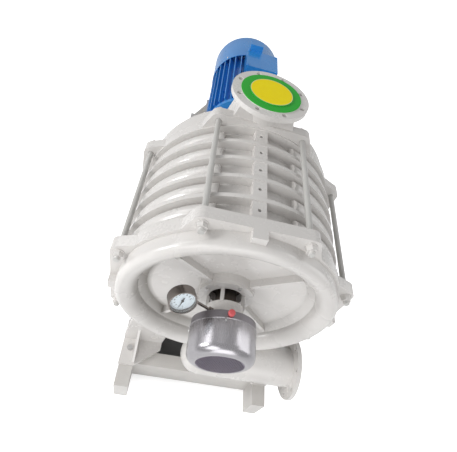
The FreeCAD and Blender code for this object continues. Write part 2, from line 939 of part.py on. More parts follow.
def housing_end(side):
    """Distance of a bearing housing's outer end outside the joint face."""
    return housing_start(side) + size("housing_length")


def bearing_start(side):
    """Distance of a bearing's inner end outside the joint face."""
    return housing_start(side) + (size("housing_length") - size("bearing_width")) / 2


def shaft_tail():
    """Distance of the shaft's front end ahead of the joint face."""
    ring = housing_end("front") + size("fan_ring_thickness")
    return ring + size("fan_setback") + size("fan_width")


def shaft_drive_end():
    """The y of the shaft end that faces the motor shaft."""
    return size("motor_face") - size("motor_shaft_length") - size("coupling_gap")


def make_shaft():
    """Stepped blower shaft from the cooling fan to the coupling."""
    journal = size("bearing_bore")
    tail = size("tail_radius")
    front_step = outward("front", bearing_start("front"))
    fan_step = outward("front", housing_end("front"))
    rear_step = outward("rear", bearing_start("rear"))
    points = [
        (0, outward("front", shaft_tail())), (tail, outward("front", shaft_tail())), (tail, fan_step),
        (journal, fan_step), (journal, front_step), (size("shaft_radius"), front_step),
        (size("shaft_radius"), rear_step), (journal, rear_step), (journal, shaft_drive_end()),
        (0, shaft_drive_end())]
    return turned("shaft", points)


def make_sleeves():
    """Spacer sleeves that hold the impellers apart on the shaft."""
    body = new_body("shaft_sleeves")
    count = int(size("stage_count").value)
    bore = size("shaft_radius") + size("running_fit")
    eye = size("impeller_disc") + size("impeller_width")
    spans = [(impeller_start(n) + eye, impeller_start(n + 1)) for n in range(1, count)]
    spans.append((outward("front", bearing_start("front")), impeller_start(1)))
    spans.append((impeller_start(count) + eye, outward("rear", bearing_start("rear"))))
    for low, high in spans:
        revolve(body, "Revolution", draw(new_sketch(body, "XY_Plane"),
                                         tube_points(bore, size("sleeve_radius"), low, high)))
    return body


def make_bearing_bracket(side):
    """Lantern bracket: a ring on the hub, open posts and the bearing housing."""
    body = new_body(side + "_bearing_bracket")
    root_at = size(side + "_hub_length")
    posts = root_at + size("bracket_plate")
    housing = housing_start(side)
    end = housing_end(side)
    width = size("bearing_width")
    shelf = (size("housing_length") - width) / 2
    seat = size("bearing_outer") + size("running_fit")
    gland = shaft_opening()
    base = tube_points(size("bracket_bore"), size("bracket_radius"), root_at, posts)
    revolve(body, "Revolution", draw(new_sketch(body, "XY_Plane"),
                                     [(r, outward(side, y)) for r, y in base]))
    pot = [(gland, housing), (size("housing_radius"), housing), (size("housing_radius"), end),
           (seat, end), (seat, housing + shelf), (gland, housing + shelf)]
    revolve(body, "Revolution", draw(new_sketch(body, "XY_Plane"),
                                     [(r, outward(side, y)) for r, y in pot]))
    far = size("post_radius")
    thick = size("post_thickness")

    def post(sketch):
        return draw_box(sketch, far - thick, far, -thick / 2, thick / 2)

    first = pad_outward(body, side, post, posts - 2, size("bracket_post") + 8)
    bind(first.Profile[0], "AttachmentOffset.Rotation.Angle", size("post_angle"))
    around(body, [first], size("post_count"))
    if side == "front":
        hole = draw_box(new_sketch(body, "XZ_Plane", offset=size("gauge_forward"),
                                   turn=size("gauge_azimuth")),
                        size("housing_radius") - size("stem_depth"), size("housing_radius") + 10,
                        0, size("stem_radius") + size("running_fit"))
        revolve(body, "Groove", hole, axis="H_Axis")
    return body


def bearing_span(side):
    """The y of a bearing's two end faces, inner end first."""
    near = bearing_start(side)
    return outward(side, near), outward(side, near + size("bearing_width"))


def ring_pair(name, inner, outer):
    """One plain ring in each of the two bearing housings."""
    body = new_body(name)
    for side in ("front", "rear"):
        near, far = bearing_span(side)
        section = tube_points(inner, outer, near, far)
        revolve(body, "Revolution", draw(new_sketch(body, "XY_Plane"), section))
    return body


def make_bearings():
    """Outer rings, inner rings and rollers of the two cylindrical roller bearings."""
    ring = size("bearing_ring")
    fit = size("running_fit")
    inner_race = size("bearing_bore") + fit + ring
    outer_race = size("bearing_outer") - ring
    ring_pair("bearing_outer_rings", outer_race, size("bearing_outer"))
    ring_pair("bearing_inner_rings", size("bearing_bore") + fit, inner_race)
    body = new_body("bearing_rollers")
    radius = (outer_race - inner_race) / 2 - fit
    middle = (outer_race + inner_race) / 2

    def roller(sketch):
        return draw_circle(sketch, middle, 0, radius)

    sets = [pad_outward(body, side, roller, bearing_start(side) + 4, size("bearing_width") - 8)
            for side in ("front", "rear")]
    around(body, sets, size("roller_count"))
    return body


def make_bearing_cap(side):
    """The cover ring screwed to the outer face of a bearing housing."""
    start = housing_end(side)
    end = start + size("fan_ring_thickness")
    bore = size("bearing_bore") + size("seal_bore_clearance") if side == "rear" else (
        size("tail_radius") + size("seal_bore_clearance"))
    if side == "front":
        outer = size("fan_ring_radius")
        points = [(bore, start), (outer, start), (outer, end), (outer - 12, end),
                  (outer - 12, start + 8), (bore, start + 8)]
    else:
        points = tube_points(bore, size("housing_radius"), start, start + 8)
    return turned(side + "_bearing_cap", [(r, outward(side, y)) for r, y in points])


# Cooling fan and its cover

def cup_reach():
    """Distance of the fan cover's front face ahead of the joint face."""
    ring = housing_end("front") + size("fan_ring_thickness")
    return ring - size("cover_overlap") + size("cover_cup_length")


def make_fan_cover():
    """Thin drawn cup with a rounded front edge and an intake in its face."""
    front = cup_reach()
    back = front - size("cover_cup_length")
    wall = size("cover_cup_wall")
    outer = size("fan_ring_radius") + size("running_fit") + wall
    bend = size("cover_cup_corner")
    points = [
        (outer, back), (outer, front - bend, bend), (outer - bend, front), (0, front),
        (0, front - wall), (outer - bend, front - wall, -(bend - wall)), (outer - wall, front - bend),
        (outer - wall, back)]
    body = turned("fan_cover", [(p[0], outward("front", p[1])) + tuple(p[2:]) for p in points])
    return body


def make_cooling_fan():
    """Radial fan on the shaft end, keyed by its hub."""
    body = new_body("cooling_fan")
    back = housing_end("front") + size("fan_ring_thickness") + 6
    front = shaft_tail()
    bore = size("tail_radius") + size("running_fit")
    hub = [(bore, back), (size("fan_radius"), back), (size("fan_radius"), back + 4),
           (size("fan_hub"), back + 4), (size("fan_hub"), front), (bore, front)]
    revolve(body, "Revolution", draw(new_sketch(body, "XY_Plane"),
                                     [(r, outward("front", y)) for r, y in hub]))

    def blade(sketch):
        return draw_box(sketch, size("fan_hub") - 2, size("fan_radius") - 4, -2, 2)

    first = pad_outward(body, "front", blade, back + 2, size("fan_width"))
    around(body, [first], size("fan_blades"))
    return body


def make_grease_plug():
    """Small round plug on top of the bearing cap ring."""
    body = new_body("grease_plug")
    bare = size("fan_ring_thickness") - size("cover_overlap")
    y = outward("front", housing_end("front") + bare / 2)
    top = size("fan_ring_radius")
    stem = draw_circle(new_sketch(body, "XY_Plane", offset=top), 0, y, size("plug_radius"))
    extrude(body, "Pad", stem, size("plug_height"))
    return body


# Flange covers

def make_cover_plate():
    """Round transit plate that closes the inlet flange."""
    body = new_body("inlet_cover_plate")
    y = casing_length() + size("inlet_setback")
    z = size("inlet_height") + size("gasket_thickness")
    disc = draw_circle(new_sketch(body, "XY_Plane", offset=z), 0, y, size("cover_radius"))
    extrude(body, "Pad", disc, size("cover_thickness"))
    return body


def make_gasket():
    """Sealing ring between the inlet flange and its cover."""
    body = new_body("inlet_gasket")
    y = casing_length() + size("inlet_setback")
    sketch = new_sketch(body, "XY_Plane", offset=size("inlet_height"))
    draw_circle(sketch, 0, y, size("gasket_radius"))
    draw_circle(sketch, 0, y, size("gasket_bore"))
    extrude(body, "Pad", sketch, size("gasket_thickness"))
    return body


# Base frame

def channel(body, role, offset, width, length, x, top, opening):
    """A rolled channel section extruded from an origin plane; opening is +1 or -1."""
    web = size("rail_web")
    thick = size("rail_flange")
    low = top - size("rail_height")
    back = x - opening * (width / 2)
    lip = x + opening * (width / 2)
    inside = back + opening * web
    points = [(back, low), (lip, low), (lip, low + thick), (inside, low + thick),
              (inside, top - thick), (lip, top - thick), (lip, top), (back, top)]
    if opening < 0:
        points.reverse()
    sketch = draw(new_sketch(body, role, offset=offset), points)
    return extrude(body, "Pad", sketch, length, backward=(role == "XZ_Plane"))


def anchor_spots():
    """The y of the anchor holes in each rail."""
    front = -size("rail_front") + size("anchor_inset")
    back = -size("rail_front") + size("rail_length") - size("anchor_inset")
    return [front, (front + back) / 2, back]


def make_rail(name, hand):
    """One long channel of the base; its web faces the other rail and plates close its ends."""
    body = new_body(name)
    x = size("rail_spacing") / 2 * hand
    channel(body, "XZ_Plane", size("rail_front"), size("rail_width"), size("rail_length"), x,
            -size("rail_drop"), hand)
    for start in (-size("rail_front"), size("rail_length") - size("rail_front") - size("rail_end")):
        plate = draw_box(new_sketch(body, "XZ_Plane", offset=-start), x - size("rail_width") / 2,
                         x + size("rail_width") / 2, -size("rail_drop") - size("rail_height"),
                         -size("rail_drop"))
        extrude(body, "Pad", plate, size("rail_end"), backward=True)
    bottom = -size("rail_drop") - size("rail_height")
    sketch = new_sketch(body, "XY_Plane", offset=bottom + size("rail_flange"))
    for y in anchor_spots():
        draw_circle(sketch, x, y, size("anchor_bore") / 2)
    extrude(body, "Pocket", sketch, size("rail_flange") + 2)
    upper = new_sketch(body, "XY_Plane", offset=-size("rail_drop"))
    for side in ("front", "rear"):
        for spot_x, spot_y in foot_bolt_spots(side):
            if spot_x.value * hand > 0:
                draw_circle(upper, spot_x, spot_y,
                            size("foot_bolt_diameter") / 2 + size("foot_bolt_clearance"))
    for spot_x, spot_y in stand_bolt_spots():
        if spot_x.value * hand > 0:
            draw_circle(upper, spot_x, spot_y, size("stand_bolt_radius") + 1)
    extrude(body, "Pocket", upper, size("rail_flange") + 2)
    return body


def make_cross_beams():
    """Channels between the rails, welded to their webs."""
    body = new_body("cross_beams")
    between = (size("rail_spacing") - size("rail_width")) / 2
    half = size("beam_width") / 2
    places = [
        -size("beam_front") + half,
        casing_length() + size("foot_bolt_front"),
        size("motor_face") + half,
        size("rail_length") - size("rail_front") - half,
    ]
    for y in places:
        channel(body, "YZ_Plane", -between, size("beam_width"), between * 2, y,
                -size("rail_drop"), 1)
    return body


def make_foot_bolts():
    """Hexagon bolts that hold the head feet to the rails."""
    body = new_body("foot_bolts")
    top = size("foot_thickness") - size("rail_drop")
    head = size("foot_bolt_diameter") * 0.65
    flats = size("foot_bolt_diameter") * 1.5
    heads = new_sketch(body, "XY_Plane", offset=top)
    shanks = new_sketch(body, "XY_Plane", offset=top + 2)
    nuts = new_sketch(body, "XY_Plane", offset=-size("rail_drop") - size("rail_flange"))
    for side in ("front", "rear"):
        for x, y in foot_bolt_spots(side):
            hexagon(heads, x, y, flats)
            draw_circle(shanks, x, y, size("foot_bolt_diameter") / 2)
            hexagon(nuts, x, y, flats)
    extrude(body, "Pad", heads, head)
    extrude(body, "Pad", shanks, size("foot_thickness") + size("rail_flange") + head + 6,
            backward=True)
    extrude(body, "Pad", nuts, head, backward=True)
    return body


# Dial thermometer

def gauge_body(name):
    """A body in the dial's own frame: Y up along the stem, Z out of the face."""
    body = new_body(name)
    reach = size("gauge_distance")
    angle = size("gauge_azimuth")
    place(body, reach * cosine(angle), -size("gauge_forward"), reach * sine(angle))
    upright = "rotationy((90 - Sizes.gauge_azimuth) * 1 deg)"
    facing = "rotationx(90 deg) * rotationy(Sizes.gauge_tilt * 1 deg)"
    body.setExpression("Placement.Rotation", upright + " * " + facing)
    return body


def make_gauge_case():
    """Round case with a bezel lip, an inner floor for the dial and a boss for the stem."""
    body = gauge_body("gauge_case")
    back = size("gauge_back")
    front = back + size("gauge_depth")
    floor = back + size("gauge_floor")
    ledge = front - size("glass_thickness") - 1
    arbor = size("needle_width") / 2 - size("running_fit") * 10
    rim = size("gauge_radius")
    lip = size("gauge_bezel")
    points = [
        (arbor, back), (rim, back), (rim, front), (rim - lip, front), (rim - lip, ledge),
        (rim - lip - 2, ledge), (rim - lip - 2, floor), (arbor, floor)]
    revolve(body, "Revolution", draw(new_sketch(body, "XZ_Plane"), points))
    boss = draw_circle(new_sketch(body, "XY_Plane", offset=back + 1), 0, 0, size("boss_radius"))
    extrude(body, "Pad", boss, size("boss_length") + 1, backward=True)
    socket = draw_box(new_sketch(body, "XY_Plane"), 0, size("stem_radius") + size("running_fit"),
                      -size("boss_radius") - 2, -size("stem_depth"))
    revolve(body, "Groove", socket)
    return body


def make_gauge_glass():
    """Flat glass behind the bezel lip."""
    body = gauge_body("gauge_glass")
    front = size("gauge_back") + size("gauge_depth")
    disc = draw_circle(new_sketch(body, "XY_Plane", offset=front - size("glass_thickness") - 1), 0, 0,
                       size("gauge_radius") - size("gauge_bezel"))
    extrude(body, "Pad", disc, size("glass_thickness"))
    return body


def make_gauge_needle():
    """Pointer with a counterweight tail, a hub and an arbor through the dial."""
    body = gauge_body("gauge_needle")
    floor = size("gauge_back") + size("gauge_floor")
    half = size("needle_width") / 2
    thick = size("needle_thickness")
    blade = draw(new_sketch(body, "XY_Plane", offset=floor + 4, turn=size("needle_angle")), [
        (-half, -size("needle_tail")), (half, -size("needle_tail")), (half, 0),
        (0, size("needle_length")), (-half, 0)])
    extrude(body, "Pad", blade, thick)
    hub = draw_circle(new_sketch(body, "XY_Plane", offset=floor + 4), 0, 0, size("needle_width"))
    extrude(body, "Pad", hub, thick * 2)
    arbor = draw_circle(new_sketch(body, "XY_Plane", offset=floor + 5), 0, 0,
                        half - size("running_fit") * 11)
    extrude(body, "Pad", arbor, size("gauge_floor") + 4, backward=True)
    return body


def make_gauge_stem():
    """Probe stem from the case boss into the bearing housing, with a hexagon at each end."""
    body = gauge_body("gauge_stem")
    top = -size("stem_depth")
    seat = -(size("gauge_distance") - size("housing_radius"))
    rod = draw_box(new_sketch(body, "XY_Plane"), 0, size("stem_radius"), seat - size("stem_depth"), top)
    revolve(body, "Revolution", rod)
    for low, long in ((seat + 1, 12), (-size("boss_radius") - 14, 14)):
        nut = hexagon(new_sketch(body, "XZ_Plane", offset=-low), 0, 0, size("stem_hexagon"))
        extrude(body, "Pad", nut, long, backward=True)
    return body


# Coupling

def coupling_pin_holes(body, radius, start, length):
    """Evenly spaced holes through one coupling flange."""
    hole = draw_circle(new_sketch(body, "XZ_Plane", offset=-start), size("coupling_pin_circle"), 0,
                       radius)
    first = extrude(body, "Pocket", hole, length)
    around(body, [first], size("coupling_pins"))


def make_blower_hub():
    """Coupling half on the blower shaft, with large holes for the rubber bushes."""
    body = new_body("coupling_blower_half")
    end = shaft_drive_end()
    step = end - size("coupling_flange")
    bore = size("bearing_bore") + size("running_fit")
    points = [
        (bore, end - size("coupling_hub_length")),
        (size("coupling_hub_radius"), end - size("coupling_hub_length")),
        (size("coupling_hub_radius"), step), (size("coupling_radius"), step),
        (size("coupling_radius"), end), (bore, end)]
    revolve(body, "Revolution", draw(new_sketch(body, "XY_Plane"), points))
    coupling_pin_holes(body, size("coupling_bush_radius"), step - 1, size("coupling_flange") + 2)
    return body


def make_motor_hub():
    """Coupling half on the motor shaft, with the fitted pin holes."""
    body = new_body("coupling_motor_half")
    start = shaft_drive_end() + size("coupling_gap")
    step = start + size("coupling_flange")
    bore = size("motor_shaft_radius") + size("running_fit")
    points = [
        (bore, start), (size("coupling_radius"), start), (size("coupling_radius"), step),
        (size("coupling_hub_radius"), step),
        (size("coupling_hub_radius"), start + size("coupling_hub_length")),
        (bore, start + size("coupling_hub_length"))]
    revolve(body, "Revolution", draw(new_sketch(body, "XY_Plane"), points))
    coupling_pin_holes(body, size("coupling_pin_radius") + size("running_fit"), start - 1,
                       size("coupling_flange") + 2)
    return body


def make_coupling_pins():
    """Headed pins held in the motor half."""
    body = new_body("coupling_pins")
    face = shaft_drive_end()
    back = face + size("coupling_gap") + size("coupling_flange")
    shank = draw_circle(new_sketch(body, "XZ_Plane", offset=-(face - size("coupling_flange"))),
                        size("coupling_pin_circle"), 0, size("coupling_pin_radius"))
    pin = extrude(body, "Pad", shank, size("coupling_flange") * 2 + size("coupling_gap") + 2,
                  backward=True)
    cap = draw_circle(new_sketch(body, "XZ_Plane", offset=-back), size("coupling_pin_circle"), 0,
                      size("coupling_pin_radius") + 5)
    head = extrude(body, "Pad", cap, size("pin_head"), backward=True)
    around(body, [pin, head], size("coupling_pins"))
    return body


def make_coupling_bushes():
    """Rubber bushes between the pins and the blower half."""
    body = new_body("coupling_bushes")
    start = shaft_drive_end() - size("coupling_flange")
    ring = new_sketch(body, "XZ_Plane", offset=-start)
    draw_circle(ring, size("coupling_pin_circle"), 0, size("coupling_bush_radius"))
    draw_circle(ring, size("coupling_pin_circle"), 0, size("coupling_pin_radius"))
    first = extrude(body, "Pad", ring, size("coupling_flange") + size("coupling_gap"), backward=True)
    around(body, [first], size("coupling_pins"))
    return body


def make_coupling_guard():
    """Arched sheet guard with outward feet on the stand plate."""
    body = new_body("coupling_guard")
    outer = size("guard_radius")
    inner = outer - size("guard_wall")
    floor = -size("motor_foot_drop")
    wall = size("guard_wall")
    foot = outer + size("guard_foot")
    arch = draw(new_sketch(body, "XZ_Plane", offset=-(size("motor_face") - size("guard_front"))), [
        (outer, 0, outer), (0, outer, outer), (-outer, 0), (-outer, floor + wall),
        (-foot, floor + wall), (-foot, floor), (-inner, floor), (-inner, 0, -inner),
        (0, inner, -inner), (inner, 0), (inner, floor), (foot, floor), (foot, floor + wall),
        (outer, floor + wall)])
    extrude(body, "Pad", arch, size("guard_length"), backward=True)
    return body


# Motor

def frame_start():
    """The y where the motor frame begins behind the drive-end shield."""
    return size("motor_face") + size("shield_thickness")


def fin_reach():
    """Fin tip radius; the fan cowl is pushed over the fins."""
    return size("cowl_radius") - size("cowl_wall") - size("cowl_fit")


def make_motor_frame():
    """Ribbed motor frame with two cast feet and the seat for the terminal box."""
    body = new_body("motor_frame")
    start = frame_start()
    core = tube_points(size("motor_radius") - size("motor_wall"), size("motor_radius"), start,
                       start + size("motor_length"))
    revolve(body, "Revolution", draw(new_sketch(body, "XY_Plane"), core))
    fin = draw_box(new_sketch(body, "XZ_Plane", offset=-start), size("motor_radius") - 4, fin_reach(),
                   -size("fin_width") / 2, size("fin_width") / 2)
    first = extrude(body, "Pad", fin, size("motor_length"), backward=True)
    around(body, [first], size("fin_count"))
    floor = -size("motor_foot_drop")
    half = size("motor_foot_width") / 2
    spread = size("motor_foot_spread")
    foot_start = size("motor_face") + size("motor_foot_start")
    foot = draw(new_sketch(body, "XZ_Plane", offset=-foot_start), [
        (spread - half, floor), (spread + half, floor),
        (spread + half, floor + size("motor_foot_thickness")),
        (spread + 4, floor + size("motor_foot_thickness")), (spread - 8, floor + size("motor_foot_web")),
        (spread - half, floor + size("motor_foot_web"))])
    block = extrude(body, "Pad", foot, size("motor_foot_length"), backward=True)
    drill = new_sketch(body, "XY_Plane", offset=floor + 60)
    for y in motor_bolt_rows():
        draw_circle(drill, spread + half - 20, y, size("motor_bolt_radius") + 1)
    bore = extrude(body, "Pocket", drill, 62)
    mirrored(body, [block, bore])
    seat_start = size("motor_face") + size("box_start")
    seat = draw_box(new_sketch(body, "XY_Plane", offset=size("motor_radius") * 0.45),
                    -size("box_left"), size("box_right"), seat_start, seat_start + size("box_length"))
    extrude(body, "Pad", seat, size("box_seat") - size("motor_radius") * 0.45)
    inside = tube_points(0, size("motor_radius") - size("motor_wall"), start - 1,
                         start + size("motor_length") + 1)
    revolve(body, "Groove", draw(new_sketch(body, "XY_Plane"), inside))
    return body


def motor_bolt_rows():
    """The y of the two rows of motor foot bolts."""
    start = size("motor_face") + size("motor_foot_start")
    return [start + 40, start + size("motor_foot_length") - 40]


def make_motor_shields():
    """The two end shields that close the frame and carry the motor bearings."""
    body = new_body("motor_end_shields")
    thick = size("shield_thickness")
    seat = size("motor_bearing_radius") + size("running_fit")
    opening = size("motor_shaft_radius") + 1
    rear = frame_start() + size("motor_length")
    for face, inward in ((size("motor_face"), 1), (rear + thick, -1)):
        joint = face + thick * inward
        points = [
            (opening, face), (size("shield_step"), face), (size("shield_radius"), face + 14 * inward),
            (size("shield_radius"), joint), (seat, joint),
            (seat, joint - size("motor_bearing_width") * inward),
            (opening, joint - size("motor_bearing_width") * inward)]
        revolve(body, "Revolution", draw(new_sketch(body, "XY_Plane"), points))
    return body


def make_motor_bearings():
    """Sealed bearings in the two end shields."""
    body = new_body("motor_bearings")
    width = size("motor_bearing_width")
    bore = size("motor_shaft_radius") + size("running_fit")
    front = frame_start()
    rear = frame_start() + size("motor_length")
    for low in (front - width, rear):
        ring = tube_points(bore, size("motor_bearing_radius"), low, low + width)
        revolve(body, "Revolution", draw(new_sketch(body, "XY_Plane"), ring))
    return body


def make_motor_stator():
    """Wound stator core inside the frame."""
    middle = frame_start() + size("motor_length") / 2
    half = size("stator_length") / 2
    return turned("motor_stator", tube_points(size("rotor_radius") + size("air_gap"),
                                              size("motor_radius") - size("motor_wall"),
                                              middle - half, middle + half))


def motor_tail():
    """The y of the motor shaft's fan end."""
    return frame_start() + size("motor_length") + size("shield_thickness") + 14 + size("motor_fan_width")


def make_motor_rotor():
    """Motor shaft with its rotor core."""
    middle = frame_start() + size("motor_length") / 2
    half = size("stator_length") / 2
    shaft = size("motor_shaft_radius")
    front = size("motor_face") - size("motor_shaft_length")
    core = size("rotor_radius")
    return turned("motor_rotor", [
        (0, front), (shaft, front), (shaft, middle - half), (core, middle - half),
        (core, middle + half), (shaft, middle + half), (shaft, motor_tail()), (0, motor_tail())])


def make_motor_fan():
    """Radial fan under the cowl."""
    body = new_body("motor_fan")
    end = motor_tail()
    start = end - size("motor_fan_width")
    bore = size("motor_shaft_radius") + size("running_fit")
    hub = [(bore, start), (size("motor_fan_radius"), start), (size("motor_fan_radius"), start + 4),
           (bore + 16, start + 4), (bore + 16, end), (bore, end)]
    revolve(body, "Revolution", draw(new_sketch(body, "XY_Plane"), hub))
    blade = draw_box(new_sketch(body, "XZ_Plane", offset=-(start + 2)), bore + 14,
                     size("motor_fan_radius") - 4, -2, 2)
    first = extrude(body, "Pad", blade, size("motor_fan_width") - 2, backward=True)
    around(body, [first], size("motor_fan_blades"))
    return body


def make_motor_cowl():
    """Drawn fan cowl pushed over the fin ends, with a rounded rear edge."""
    start = size("motor_face") + size("cowl_start")
    end = start + size("cowl_length")
    outer = size("cowl_radius")
    wall = size("cowl_wall")
    bend = size("cowl_corner")
    return turned("motor_fan_cowl", [
        (outer, start), (outer, end - bend, bend), (outer - bend, end), (0, end), (0, end - wall),
        (outer - bend, end - wall, -(bend - wall)), (outer - wall, end - bend), (outer - wall, start)])


def box_start():
    """The y of the terminal box's front side."""
    return size("motor_face") + size("box_start")


def make_terminal_box():
    """Open terminal box on the frame's seat, with a raised cable entry at its rear."""
    body = new_body("motor_terminal_box")
    low = box_start()
    high = low + size("box_length")
    left = -size("box_left")
    right = size("box_right")
    seat = size("box_seat")
    wall = size("box_wall")
    extrude(body, "Pad", draw_box(new_sketch(body, "XY_Plane", offset=seat), left, right, low, high),
            size("box_height"))
    entry = draw_box(new_sketch(body, "XY_Plane", offset=seat + 4), -size("entry_width") / 2,
                     size("entry_width") / 2, high - wall, high + size("entry_length"))
    extrude(body, "Pad", entry, size("entry_height"))
    room = draw_box(new_sketch(body, "XY_Plane", offset=seat + wall), left + wall, right - wall,
                    low + wall, high - wall)
    extrude(body, "Pocket", room, size("box_height"), backward=True)
    gland = draw_circle(new_sketch(body, "XZ_Plane", offset=-(high + size("entry_length"))), 0,
                        seat + 4 + size("entry_height") / 2, size("gland_radius"))
    extrude(body, "Pad", gland, size("gland_length"), backward=True)
    return body


def make_terminal_lid():
    """Flat lid of the terminal box."""
    body = new_body("motor_box_lid")
    low = box_start()
    sheet = draw_box(new_sketch(body, "XY_Plane", offset=size("box_seat") + size("box_height")),
                     -size("box_left"), size("box_right"), low, low + size("box_length") - size("box_wall"))
    extrude(body, "Pad", sheet, size("box_lid"))
    return body


# Motor stand

def make_motor_stand():
    """Welded stand: motor plate, tapering cross plates and a wider lower box with foot strips."""
    body = new_body("motor_stand")
    front = size("motor_face") - size("stand_front")
    top = -size("motor_foot_drop")
    thick = size("stand_plate")
    wall = size("stand_wall")
    half = size("stand_half_width")
    lower_top = -size("stand_lower_top")
    wide = size("stand_lower_half")
    length = size("stand_lower_length")
    floor = -size("rail_drop")
    plate = draw_box(new_sketch(body, "XY_Plane", offset=top), -half, half, front,
                     front + size("stand_length"))
    extrude(body, "Pad", plate, thick, backward=True)
    shell = new_sketch(body, "XY_Plane", offset=floor)
    draw_box(shell, -wide, wide, front, front + length)
    draw_box(shell, -wide + wall, wide - wall, front + wall, front + length - wall)
    extrude(body, "Pad", shell, size("rail_drop") - size("stand_lower_top"))
    deck = draw_box(new_sketch(body, "XY_Plane", offset=lower_top), -wide, wide, front, front + length)
    extrude(body, "Pad", deck, wall, backward=True)
    foot = size("stand_rib_foot")
    slot = size("stand_slot_width")
    count = int(size("stand_ribs").value)
    step = (length - wall) / (count - 1)
    for index in range(count):
        rib = new_sketch(body, "XZ_Plane", offset=-(front + step * index))
        draw(rib, [(-foot, lower_top - 2), (foot, lower_top - 2), (half - 10, top - thick + 2),
                   (-half + 10, top - thick + 2)])
        for hand in (-1, 1):
            inner = [(foot - 70, lower_top + 14), (foot - 70 + slot, lower_top + 14),
                     (half - 60 + slot, top - thick - 14), (half - 60, top - thick - 14)]
            points = [(x * hand, z) for x, z in inner]
            draw(rib, points if hand > 0 else points[::-1])
        extrude(body, "Pad", rib, wall, backward=True)
    strips = new_sketch(body, "XY_Plane", offset=floor)
    for hand in (-1, 1):
        x = [size("stand_foot_inner") * hand, size("stand_foot_outer") * hand]
        draw_box(strips, x[0] if hand > 0 else x[1], x[1] if hand > 0 else x[0], front, front + length)
    extrude(body, "Pad", strips, wall)
    holes = new_sketch(body, "XY_Plane", offset=floor + wall)
    for x, y in stand_bolt_spots():
        draw_circle(holes, x, y, size("stand_bolt_radius") + 1)
    extrude(body, "Pocket", holes, wall + 2)
    slots = new_sketch(body, "XY_Plane", offset=top)
    for x, y in motor_bolt_spots():
        draw_circle(slots, x, y, size("motor_bolt_radius") + 1)
    extrude(body, "Pocket", slots, thick + 2)
    return body


def motor_bolt_spots():
    """Where the motor foot bolts stand."""
    x = size("motor_foot_spread") + size("motor_foot_width") / 2 - 20
    return [(x * hand, y) for hand in (-1, 1) for y in motor_bolt_rows()]


def stand_bolt_spots():
    """Where the stand is bolted to the rails."""
    front = size("motor_face") - size("stand_front")
    x = size("rail_spacing") / 2
    rows = [front + 60, front + size("stand_lower_length") - 60]
    return [(x * hand, y) for hand in (-1, 1) for y in rows]


def make_drive_bolts():
    """Hexagon bolts that hold the motor to its stand and the stand to the rails."""
    body = new_body("drive_bolts")
    sets = [
        (motor_bolt_spots(), size("motor_bolt_radius"),
         -size("motor_foot_drop") + size("motor_foot_thickness"),
         size("motor_foot_thickness") + size("stand_plate")),
        (stand_bolt_spots(), size("stand_bolt_radius"), -size("rail_drop") + size("stand_wall"),
         size("stand_wall") + size("rail_flange")),
    ]
    for spots, radius, top, grip in sets:
        heads = new_sketch(body, "XY_Plane", offset=top)
        shanks = new_sketch(body, "XY_Plane", offset=top + 2)
        nuts = new_sketch(body, "XY_Plane", offset=top - grip)
        for x, y in spots:
            hexagon(heads, x, y, radius * 3)
            draw_circle(shanks, x, y, radius)
            hexagon(nuts, x, y, radius * 3)
        extrude(body, "Pad", heads, radius * 1.3)
        extrude(body, "Pad", shanks, grip + radius * 1.6 + 6, backward=True)
        extrude(body, "Pad", nuts, radius * 1.6, backward=True)
    return body


def main():
    """Builds every piece, checks it and writes one file each."""
    fill_sheet()
    make_front_head()
    for number in range(1, int(size("stage_count").value) + 1):
        make_stage(number)
    make_rear_head()
    make_tie_rods()
    make_rod_nuts()
    for number in range(1, int(size("stage_count").value)):
        make_return_channel(number)
    make_inlet_plate()
    for number in range(1, int(size("stage_count").value) + 1):
        make_impeller(number)
    make_shaft()
    make_sleeves()
    for side in ("front", "rear"):
        make_bearing_bracket(side)
        make_bearing_cap(side)
    make_bearings()
    make_fan_cover()
    make_cooling_fan()
    make_grease_plug()
    make_gasket()
    make_cover_plate()
    make_rail("base_rail_left", -1)
    make_rail("base_rail_right", 1)
    make_cross_beams()
    make_foot_bolts()
    make_gauge_case()
    make_gauge_glass()
    make_gauge_needle()
    make_gauge_stem()
    make_blower_hub()
    make_motor_hub()
    make_coupling_pins()
    make_coupling_bushes()
    make_coupling_guard()
    make_motor_frame()
    make_motor_shields()
    make_motor_bearings()
    make_motor_stator()
    make_motor_rotor()
    make_motor_fan()
    make_motor_cowl()
    make_terminal_box()
    make_terminal_lid()
    make_motor_stand()
    make_drive_bolts()
    DOC.recompute()
    check_and_write()


def check_and_write():
    """Stops on any failed feature or invalid shape, then exports the pieces."""
    for item in DOC.Objects:
        if "Invalid" in item.State or "Error" in item.State:
            raise RuntimeError("failed feature: " + item.Label)
    for part in PARTS:
        if part.Shape.isNull() or not part.Shape.isValid():
            raise RuntimeError("bad shape: " + part.Label)
    os.makedirs("parts", exist_ok=True)
    for part in PARTS:
        part.Shape.exportStep("parts/" + part.Label + ".step")


main()
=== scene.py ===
"""Looks of a multistage centrifugal blower: painted castings, a polished fan cover,
a dial thermometer, a blue motor and the welded base, built round the fixed frame."""

from __future__ import annotations

import json
import logging
import math
from dataclasses import dataclass
from enum import Enum
from typing import Any, Callable, Iterable, Sequence

import bmesh
import bpy
from bpy.types import Material, Mesh, Node, NodeSocket, Object
from mathutils import Matrix, Vector

